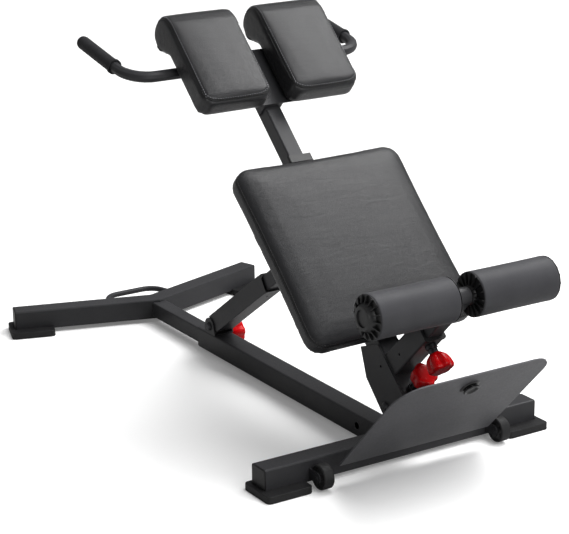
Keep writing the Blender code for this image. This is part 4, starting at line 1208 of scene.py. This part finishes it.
@dataclass
class AnkleRollers(Part):
    """The sliding arm, its axle and the two foam rollers with their finned caps."""

    sides: int = 96
    foam_bore: float = 34 * MM
    end_round: float = 4 * MM
    end_steps: int = 6
    sag: float = 0.5 * MM
    sag_steps: int = 24
    sag_breadth: float = 0.6
    fins: int = 16
    fin_ring: float = 1 * MM
    fin_thickness: float = 2.4 * MM
    fin_low: float = 2.2 * MM
    fin_corner: tuple[float, float] = (3 * MM, 2 * MM)
    fin_inset: float = 1.2 * MM
    fin_root: float = 1 * MM
    fin_lift: float = 0.8 * MM
    rim_gap: float = 0.6 * MM
    plate_low: float = 0.3 * MM
    plate: float = 1.0 * MM
    axle_bore: float = 8.6 * MM
    blind_bore: float = 0.05 * MM
    hub_radius: float = 31 * MM
    hub_draft: float = 0.6 * MM
    cone_share: float = 0.63
    cone_foot: float = 2.0 * MM
    shoulder: float = 4.4 * MM
    ring_radius: float = 24 * MM
    ring_edge: tuple[float, float] = (0.9 * MM, 0.5 * MM)
    dish_radius: float = 18 * MM
    dish_draft: float = 0.8 * MM
    dish_depth: float = 3.2 * MM
    outer_hub: float = 14.6 * MM
    inner_hub: float = 7.8 * MM
    inner_share: float = 0.68

    def fin(self, way: int, rim: float, top: float, share: float) -> Object:
        """Make one gusset fin, radial along X and outward along Y, for the node tree to repeat.

        Args:
            way: 1 or -1, which end of the roller it is for.
            rim: The radius that the fin reaches.
            top: The fin's height beside the hub.
            share: The hub's size as a share of the outer hub's.

        Returns:
            A helper object that holds the fin.
        """
        half = self.fin_thickness / 2
        inner = self.hub_radius * share - self.fin_root
        edge = rim - self.fin_inset
        corner = (edge - self.fin_corner[0], self.fin_low + self.fin_corner[1])
        outline = ((inner, 0), (edge, 0), (edge, self.fin_low), corner, (inner, top))
        shape = bmesh.new()
        faces = [[shape.verts.new((x * way, y, z)) for x, y in outline] for z in (-half, half)]
        shape.faces.new(faces[0][::-1])
        shape.faces.new(faces[1])
        for i in range(len(outline)):
            j = (i + 1) % len(outline)
            shape.faces.new((faces[0][i], faces[0][j], faces[1][j], faces[1][i]))
        return linked("fin_blank", mesh_from(shape, "fin_blank"))

    def fin_tree(self) -> Tree:
        """Build the node tree that sets a fin at each step round the axle.

        Returns:
            The node group, with the fin, the count and the place as named inputs.
        """
        sorts = {"Fin": "Object", "Count": "Int", "Centre": "Vector", "Outward": "Vector"}
        tree, given = start_group("fins_round_axle", **sorts)
        circle = feed(tree, "GeometryNodeCurvePrimitiveCircle", {"Radius": self.fin_ring})
        round_points = {"Curve": circle, "Count": given["Count"]}
        run = feed(tree, "GeometryNodeResampleCurve", round_points, mode="COUNT")
        stood = feed(tree, "GeometryNodeTransform", {"Geometry": run, "Rotation": (math.pi / 2, 0.0, 0.0)})
        along = {"Vector": feed(tree, "GeometryNodeInputTangent")}
        across = feed(tree, "FunctionNodeAlignRotationToVector", along, axis="Z")
        out = {"Rotation": across, "Vector": given["Outward"]}
        turned = feed(tree, "FunctionNodeAlignRotationToVector", out, axis="Y", pivot_axis="Z")
        kept = add_node(tree, "GeometryNodeCaptureAttribute", {"Geometry": stood})
        kept.capture_items.new("ROTATION", "Turn")
        tree.links.new(turned, kept.inputs["Turn"])
        centring = {"Geometry": kept.outputs["Geometry"], "Position": given["Centre"]}
        placing = {
            "Points": feed(tree, "GeometryNodeSetPosition", centring),
            "Instance": feed(tree, "GeometryNodeObjectInfo", {"Object": given["Fin"]}, "Geometry"),
            "Rotation": kept.outputs["Turn"],
        }
        placed = feed(tree, "GeometryNodeInstanceOnPoints", placing)
        finish_group(tree, placed, given["Finish"], smooth=False)
        return tree

    def cap(self, node: str, foam: str, hub: float, share: float = 1.0) -> None:
        """Make one end cap: a back plate, a dished hub and a ring of gusset fins.

        Args:
            node: The cap's solid.
            foam: The foam's solid that it closes.
            hub: How far the hub stands out of the foam.
            share: The hub's width as a share of the outer hub's.
        """
        low, high = (Vector(c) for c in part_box(foam))
        cap_low, cap_high = (Vector(c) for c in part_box(node))
        outward = 1 if (cap_low + cap_high).y > (low + high).y else -1
        rim = (high.x - low.x) / 2 - self.rim_gap
        centre = Vector(((low.x + high.x) / 2, high.y if outward > 0 else low.y, (low.z + high.z) / 2))
        blind = hub == self.outer_hub
        bore = self.blind_bore if blind else self.axle_bore
        face = hub - self.dish_depth if blind else hub
        slope = (hub - self.shoulder) / 3
        wide, ring, dish = self.hub_radius * share, self.ring_radius * share, self.dish_radius * share
        profile = [
            (bore, self.plate_low),
            (rim, self.plate_low),
            (rim, self.plate),
            (wide, self.plate),
            (wide - self.hub_draft, self.shoulder),
            (ring + (wide - ring) * self.cone_share, self.shoulder + slope),
            (ring + self.cone_foot, self.shoulder + 2 * slope),
            (ring + self.ring_edge[0], hub - self.ring_edge[1]),
            (ring, hub),
            (dish, hub),
            (dish - self.dish_draft, face),
            (bore, face),
        ]
        axis = Vector((0, outward, 0))
        plate = Lathe(self.sides, closed=True).turned(node + "_plate", centre, axis, profile)
        self.add(plate, node, MOULDED_PLASTIC, stands_for=True)
        fin = self.fin(outward, rim, self.shoulder + slope, share)
        values = {
            "Fin": fin,
            "Count": self.fins,
            "Centre": tuple(centre + axis * self.fin_lift),
            "Outward": tuple(axis),
            "Finish": MOULDED_PLASTIC.material(),
        }
        made = grown(node + "_fins", [[Vector()]], False, self.fin_tree(), values)
        bpy.data.objects.remove(fin)
        self.add(made, node)

    def roll(self, node: str) -> None:
        """Turn one foam roller in the solid's place, with soft ends and a worn waist.

        Args:
            node: The foam's solid.
        """
        low, high = (Vector(c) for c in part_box(node))
        centre = (low + high) / 2
        radius = (high.x - low.x) / 2
        length = high.y - low.y
        turns = [math.pi / 2 * i / self.end_steps for i in range(self.end_steps + 1)]
        end = self.end_round
        soft = [(radius - end * (1 - math.sin(t)), end * (1 - math.cos(t))) for t in turns]
        profile = [(self.foam_bore, 0.0), *soft]
        for i in range(1, self.sag_steps):
            share = i / self.sag_steps
            waist = self.sag * math.sin(math.pi * share) ** self.sag_breadth
            profile.append((radius - waist, end + (length - 2 * end) * share))
        profile += [(r, length - h) for r, h in reversed(soft)]
        profile.append((self.foam_bore, length))
        start = Vector((centre.x, low.y, centre.z))
        lathe = Lathe(self.sides, closed=True, sharp=50)
        made = lathe.turned(node + "_roll", start, Vector((0, 1, 0)), profile)
        self.add(made, node, ROLLER_FOAM, stands_for=True)

    def build(self) -> None:
        """Make the rollers and dress the arm, the axle and the caps."""
        for side in SIDES:
            node = "roller_foam_" + side
            self.roll(node)
            self.cap(f"roller_cap_{side}_outer", node, self.outer_hub)
            self.cap(f"roller_cap_{side}_inner", node, self.inner_hub, self.inner_share)
        self.eased(DARK_ZINC, "roller_axle", edge=0.8 * MM)
        self.dress(POWDER_COAT, "roller_arm")


@dataclass
class PullKnobs(Part):
    """The three spring-loaded pull pins: lobed red knobs on blackened barrels.

    The outline gives radius and height in millimetres, and the share of the grooves.
    """

    height: float = 39.5 * MM
    lathe: Lathe = Lathe(84, lobes=6, lobe_depth=4.2 * MM, sharp=70)
    stem: float = 5.0 * MM
    stem_end: float = 0.4 * MM
    outline: tuple[Triple, ...] = (
        (12.6, 0.0, 0.0), (13.6, 0.9, 0.0), (16.4, 3.0, 0.25), (21.8, 8.0, 0.8), (25.4, 15.5, 1.0),
        (27.6, 24.5, 1.0), (28.2, 31.0, 1.0), (27.4, 35.4, 0.95), (24.6, 38.2, 0.7), (19.0, 39.3, 0.3),
        (9.0, 39.5, 0.0), (1.0, 39.5, 0.0),
    )

    def profile(self, stem_length: float) -> list[Triple]:
        """Give the knob's profile, from the pin's end to the middle of the face.

        Args:
            stem_length: How far the pin reaches below the knob.

        Returns:
            Rows of radius, height and share of the grooves.
        """
        smooth = [(r * MM, h * MM, share) for r, h, share in through(self.outline, CURVE_STEPS)]
        foot = [(self.stem_end, -stem_length, 0.0), (self.stem, -stem_length, 0.0), (self.stem, 0.0, 0.0)]
        return foot + smooth

    def knob(self, name: str) -> None:
        """Make one knob on its own pulling axis.

        Args:
            name: The pin that the knob pulls.
        """
        node = name + "_knob"
        axis = Vector(joint(self.frame, node + "_pull")["axis"]).normalized()
        points = [Vector(p) for p in mesh_rows(self.frame["nodes"][node].data)]
        reach = [p.dot(axis) for p in points]
        top = max(reach)
        wide = [p - axis * p.dot(axis) for p, at in zip(points, reach) if at > top - self.height / 2]
        keys = {tuple(round(c, 5) for c in p): p for p in wide}
        middle = sum(keys.values(), Vector()) / len(keys)
        base = middle + axis * (top - self.height)
        profile = self.profile(top - self.height - min(reach))
        made = self.lathe.turned(node + "_grip", base, axis, profile)
        self.add(made, node, RED_PLASTIC, stands_for=True)

    def build(self) -> None:
        """Make the knobs and ease the barrels' edges."""
        for name in ("beam", "post", "roller"):
            self.knob(name)
            self.eased(DARK_ZINC, f"{name}_pin_barrel", edge=0.7 * MM)


@dataclass
class Handlebar(Part):
    """The bent handlebar with a foam grip on each end."""

    def build(self) -> None:
        """Dress the bar and its grips."""
        self.eased(POWDER_COAT, "handlebar", edge=0.5 * MM)
        self.eased(GRIP_FOAM, "grip_left", "grip_right", edge=1.0 * MM)


@dataclass
class WeldedFrame(Part):
    """The coated steel: base beams, incline, strut and the brackets welded to them.

    The bumper's outline gives radius and height in millimetres.
    """

    tube: float = 0.050
    weld_pitch: float = 2.4 * MM
    weld_size: Triple = (3.4 * MM, 4.4 * MM, 4.4 * MM)
    weld_wander: float = 0.25 * MM
    sleeve_station: float = 0.0597
    sleeve_rise: float = 0.6 * MM
    beam_gap: float = 0.2 * MM
    beam_weld_end: float = 4 * MM
    bumper_lathe: Lathe = Lathe(64, sharp=60)
    bumper_outline: tuple[tuple[float, float], ...] = (
        (1.0, 0.0), (20.4, 0.0), (20.6, 1.2), (18.4, 2.6), (15.6, 4.0), (15.2, 5.0), (17.0, 6.2),
        (18.0, 7.6), (17.2, 9.0), (15.2, 9.7), (12.6, 9.0), (9.0, 6.4), (1.0, 5.6),
    )

    def weld(self, name: str, like: str, corners: Path, closed: bool = True) -> None:
        """Lay a rippled weld bead along a joint.

        Args:
            name: The bead's name.
            like: The solid that it rides with.
            corners: The joint's corners, in the scene's frame.
            closed: Whether the bead goes all the way round.
        """
        finer = {"shape_rings": 5, "shape_sides": 8, "wander": self.weld_wander}
        run = BeadRun(name, self.weld_pitch, self.weld_size, WELD_COAT, **finer)
        self.add(run.lay(name, [corners], closed), like)

    def sleeve_welds(self) -> None:
        """Weld the roller sleeve to the incline's tube."""
        matrix = incline_matrix(self.frame)
        half = self.tube / 2
        z = PIVOT_DROP + half + self.sleeve_rise
        square = ((-1, -1), (1, -1), (1, 1), (-1, 1))
        corners = [matrix @ Vector((-self.sleeve_station + sx * half, sy * half, z)) for sx, sy in square]
        self.weld("roller_sleeve_weld", "incline_tube", corners)

    def beam_welds(self) -> None:
        """Weld the main beam to the front stabiliser along its top and sides."""
        half = self.tube / 2
        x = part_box("front_stabiliser")[0][0] - self.beam_gap
        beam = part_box("main_beam")
        top, bottom = beam[1][2], beam[0][2] + self.beam_weld_end
        spots = ((-half, bottom), (-half, top), (half, top), (half, bottom))
        corners = [Vector((x, y, z)) for y, z in spots]
        self.weld("front_beam_weld", "main_beam", corners, closed=False)

    def bumper(self) -> None:
        """Turn the plate's rubber bumper: a wide foot, a waist and a dished head."""
        axis = incline_matrix(self.frame).to_3x3() @ Vector((1, 0, 0))
        lowest = min(Vector(p).dot(axis) for p in mesh_rows(self.frame["nodes"]["foot_bumper"].data))
        low, high = (Vector(c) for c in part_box("foot_bumper"))
        centre = (low + high) / 2
        start = centre + axis * (lowest - centre.dot(axis))
        profile = [(r * MM, h * MM) for r, h in through(self.bumper_outline, CURVE_STEPS)]
        made = self.bumper_lathe.turned("foot_bumper_form", start, axis, profile)
        self.add(made, "foot_bumper", GLOSSY_RUBBER, stands_for=True)

    def build(self) -> None:
        """Coat the steel, ease the fasteners and lay the welds."""
        pairs = [f"{part}_{side}" for part in ("rear_arm", "frame_plate", "wheel_fork") for side in SIDES]
        base = ("front_stabiliser", "main_beam", "rear_beam", "frame_bracket", "strut_bracket")
        folding = ("incline_tube", "roller_sleeve", "hip_post", "hip_carrier")
        strut = ("strut_tube", "strut_rod", "strut_lug")
        self.dress(POWDER_COAT, *base, *folding, *strut, *pairs)
        # The foot plate's paler coat is painted light.
        self.dress(PAINTED_LIGHT_PLATE_COAT, "foot_plate")
        self.eased(POWDER_COAT, "carry_handle", edge=0.5 * MM)
        self.eased(DARK_ZINC, "frame_pivot_bolt", "strut_pivot_bolt", "strut_top_bolt", edge=0.5 * MM)
        self.dress(MOULDED_PLASTIC, "beam_bush", "incline_bush", "sleeve_bush", "strut_bush")
        self.dress(BACKED_BOARD, "seat_board")
        self.bumper()
        self.sleeve_welds()
        self.beam_welds()


@dataclass
class Footing(Part):
    """What the bench stands and rolls on: rubber feet with toothed skirts, end caps and wheels."""

    tooth_pitch: float = 4.5 * MM
    tooth_size: Triple = (2.6 * MM, 2.2 * MM, 4.4 * MM)
    tooth_height: float = 2.6 * MM
    tooth_inset: float = 0.5 * MM
    recess: float = 2.0 * MM
    spoke_root: float = 13.2 * MM
    spoke_tip: float = 22.0 * MM
    spoke_low: float = 0.1 * MM
    spoke_top: float = 0.2 * MM
    spoke_rim: float = 0.7 * MM
    spoke_bevel: float = 0.5 * MM
    spoke_shoulder: float = 2.0 * MM
    lathe: Lathe = Lathe(72, lobes=6, lobe_depth=6.0 * MM, closed=True)

    def teeth(self, node: str) -> None:
        """Set a row of small teeth round a foot's lower edge.

        Args:
            node: The foot's solid.
        """
        source = merged_copy(self.frame["nodes"][node], node + "_cut")
        loops = cut_loops(source, Vector((0, 0, self.tooth_height)), Vector((0, 0, 1)))
        outer = max(loops, key=lambda loop: sum((a - b).length for a, b in zip(loop, loop[1:])))
        bpy.data.meshes.remove(source)
        middle = sum(outer, Vector()) / len(outer)
        path = [p + (middle - p).normalized() * self.tooth_inset for p in outer]
        run = BeadRun(node + "_teeth", self.tooth_pitch, self.tooth_size, BLACK_RUBBER)
        self.add(run.lay(node + "_teeth", [path], True), node)

    def spokes(self, node: str) -> None:
        """Set a spoked nylon insert in the recess of each face of a wheel.

        Args:
            node: The wheel's solid.
        """
        low, high = (Vector(c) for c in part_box(node))
        middle = (low + high) / 2
        top = self.recess - self.spoke_top
        profile = [
            (self.spoke_root, self.spoke_low, 0.0),
            (self.spoke_tip, self.spoke_low, 1.0),
            (self.spoke_tip - self.spoke_bevel, self.recess - self.spoke_rim, 1.0),
            (self.spoke_root + self.spoke_shoulder, top, 0.1),
            (self.spoke_root, top, 0.0),
        ]
        for name, way, edge in (("near", -1, low.y), ("far", 1, high.y)):
            floor = Vector((middle.x, edge - way * self.recess, middle.z))
            made = self.lathe.turned(f"{node}_spokes_{name}", floor, Vector((0, way, 0)), profile)
            self.add(made, node, MOULDED_PLASTIC)

    def build(self) -> None:
        """Dress the feet, the caps and the wheels."""
        for end in ("front", "rear"):
            for side in SIDES:
                node = f"{end}_foot_{side}"
                self.eased(BLACK_RUBBER, node, edge=1.0 * MM)
                self.teeth(node)
        caps = [f"{part}_cap_{side}" for part in ("stabiliser", "rear") for side in SIDES]
        self.eased(MOULDED_PLASTIC, *caps, edge=0.9 * MM)
        self.eased(BLACK_RUBBER, "wheel_left", "wheel_right", edge=0.7 * MM)
        for side in SIDES:
            self.spokes("wheel_" + side)


@dataclass
class Studio(Part):
    """The pale floor, the soft lights and the camera at the photograph's place."""

    azimuth: float = math.radians(57.887)
    elevation: float = math.radians(17.635)
    roll: float = math.radians(-0.642)
    lens: float = 122.85
    sensor: float = 36.0
    farthest: float = 100.0
    camera_place: Triple = (3.08169, -2.2134, 1.6266)
    floor_side: float = 40.0
    floor_colour: str = "#f2f2f2"
    floor_worn: str = "#efefef"
    floor_bounce: str = "#a4a4a4"
    # Painted light: how strongly the floor glows where it is seen.
    floor_glow_painted_light: float = 0.15
    sun_strength: float = 3.9
    sun_spread: float = math.radians(62)
    sun_from: Triple = (0.25, 0.55, 1.0)
    sheen_place: Triple = (0.15, 1.35, 2.5)
    sheen_aim: Triple = (-0.2, 0.0, 0.65)
    sheen_size: float = 1.5
    sheen_power: float = 38.0
    front_place: Triple = (3.7, 0.2, 2.0)
    front_aim: Triple = (0.0, 0.0, 0.4)
    front_size: float = 2.0
    front_power: float = 40.0
    sky: float = 0.20

    def camera(self) -> None:
        """Place the camera from its measured angles."""
        shift = joint(self.frame, "incline_fold")["pos_m"][0] + PIVOT_BEHIND_ORIGIN
        a, e = self.azimuth, self.elevation
        back = Vector((math.sin(a) * math.cos(e), -math.cos(a) * math.cos(e), math.sin(e)))
        right = Vector((math.cos(a), math.sin(a), 0))
        up = back.cross(right)
        side = right * math.cos(self.roll) + up * math.sin(self.roll)
        top = back.cross(side)
        data = bpy.data.cameras.new("product_camera")
        data.lens = self.lens
        data.sensor_width = self.sensor
        data.sensor_fit = "HORIZONTAL"
        data.clip_end = self.farthest
        camera = linked("product_camera", data)
        turn = Matrix((side, top, back)).transposed().to_4x4()
        place = Vector(self.camera_place) + Vector((shift, 0, 0))
        camera.matrix_world = Matrix.Translation(place) @ turn
        bpy.context.scene.camera = camera

    def floor(self) -> None:
        """Lay the pale floor."""
        half = self.floor_side / 2
        corners = [(-half, -half, 0), (half, -half, 0), (half, half, 0), (-half, half, 0)]
        mesh = bpy.data.meshes.new("studio_floor")
        mesh.from_pydata(corners, [], [(0, 1, 2, 3)])
        mesh.materials.append(self.floor_paint())
        made = linked("studio_floor", mesh)

    def floor_paint(self) -> bpy.types.Material:
        """Paint the floor: overexposed to white where it is seen, where a painted glow also lifts the
        shadows cast on it, and a softer grey in what it throws back.

        Returns:
            The floor's material.
        """
        tones = (self.floor_colour, self.floor_worn)
        made = Finish("painted_floor", *tones, 0.75, 0.03, Grain.FINE, 3.0, 0.02, cloud_mm=600).material()
        tree = made.node_tree
        shader = next(node for node in tree.nodes if node.type == "BSDF_PRINCIPLED")
        seen = feed(tree, "ShaderNodeLightPath", output="Is Camera Ray")
        white = shader.inputs["Base Color"].links[0].from_socket
        mixed = {0: seen, 6: linear(self.floor_bounce), 7: white}
        shade = feed(tree, "ShaderNodeMix", mixed, 2, data_type="RGBA")
        # Painted light: the floor glows for camera rays alone, which lifts the shadows cast on it.
        glow = feed(tree, "ShaderNodeMath", {0: seen, 1: self.floor_glow_painted_light}, operation="MULTIPLY")
        tree.links.new(shade, shader.inputs["Base Color"])
        shader.inputs["Emission Color"].default_value = (1, 1, 1, 1)
        tree.links.new(glow, shader.inputs["Emission Strength"])
        return made

    def softbox(
        self, name: str, place: tuple[float, ...], aim: tuple[float, ...], size: float, power: float
    ) -> None:
        """Hang one soft light.

        Args:
            name: The light's name.
            place: Where it hangs.
            aim: The point that it faces.
            size: The side of its square face, in metres.
            power: Its power, in watts.
        """
        data = bpy.data.lights.new(name, "AREA")
        data.size = size
        data.energy = power
        turn = (Vector(place) - Vector(aim)).to_track_quat("Z", "Y")
        linked(name, data).matrix_world = Matrix.Translation(Vector(place)) @ turn.to_matrix().to_4x4()

    def overhead(self) -> None:
        """Light the room from above with a very wide soft sun that leaves no mirror image."""
        data = bpy.data.lights.new("overhead_panel", "SUN")
        data.energy = self.sun_strength
        data.angle = self.sun_spread
        made = linked("overhead_panel", data)
        made.matrix_world = Vector(self.sun_from).to_track_quat("Z", "Y").to_matrix().to_4x4()
        made.visible_glossy = False

    def room(self) -> None:
        """Make the room white where it is seen, and a dim grey in what it lights."""
        world = bpy.data.worlds.new("white_room")
        world.use_nodes = True
        tree = world.node_tree
        shade = tree.nodes["Background"]
        shade.inputs["Color"].default_value = (1, 1, 1, 1)
        seen = feed(tree, "ShaderNodeLightPath", output="Is Camera Ray")
        tree.links.new(spread(tree, seen, 0.0, 1.0, low=self.sky), shade.inputs["Strength"])
        bpy.context.scene.world = world
        bpy.context.scene.view_settings.view_transform = "Standard"

    def build(self) -> None:
        """Set up the whole studio."""
        self.camera()
        self.floor()
        self.overhead()
        self.softbox("sheen_box", self.sheen_place, self.sheen_aim, self.sheen_size, self.sheen_power)
        self.softbox("front_box", self.front_place, self.front_aim, self.front_size, self.front_power)
        self.room()


def main() -> None:
    """Build the dressed bench, piece by piece."""
    logging.basicConfig(level=logging.INFO, format="%(message)s")
    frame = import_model()
    Studio(frame).build()
    WeldedFrame(frame).build()
    Footing(frame).build()
    Handlebar(frame).build()
    PullKnobs(frame).build()
    AnkleRollers(frame).build()
    SeatCushion(frame).build()
    HipCushion(frame, node="hip_pad_left", seed=11.0).build()
    HipCushion(frame, node="hip_pad_right", seed=23.0).build()
    log.info("sizes written")


if __name__ == "__main__":
    main()
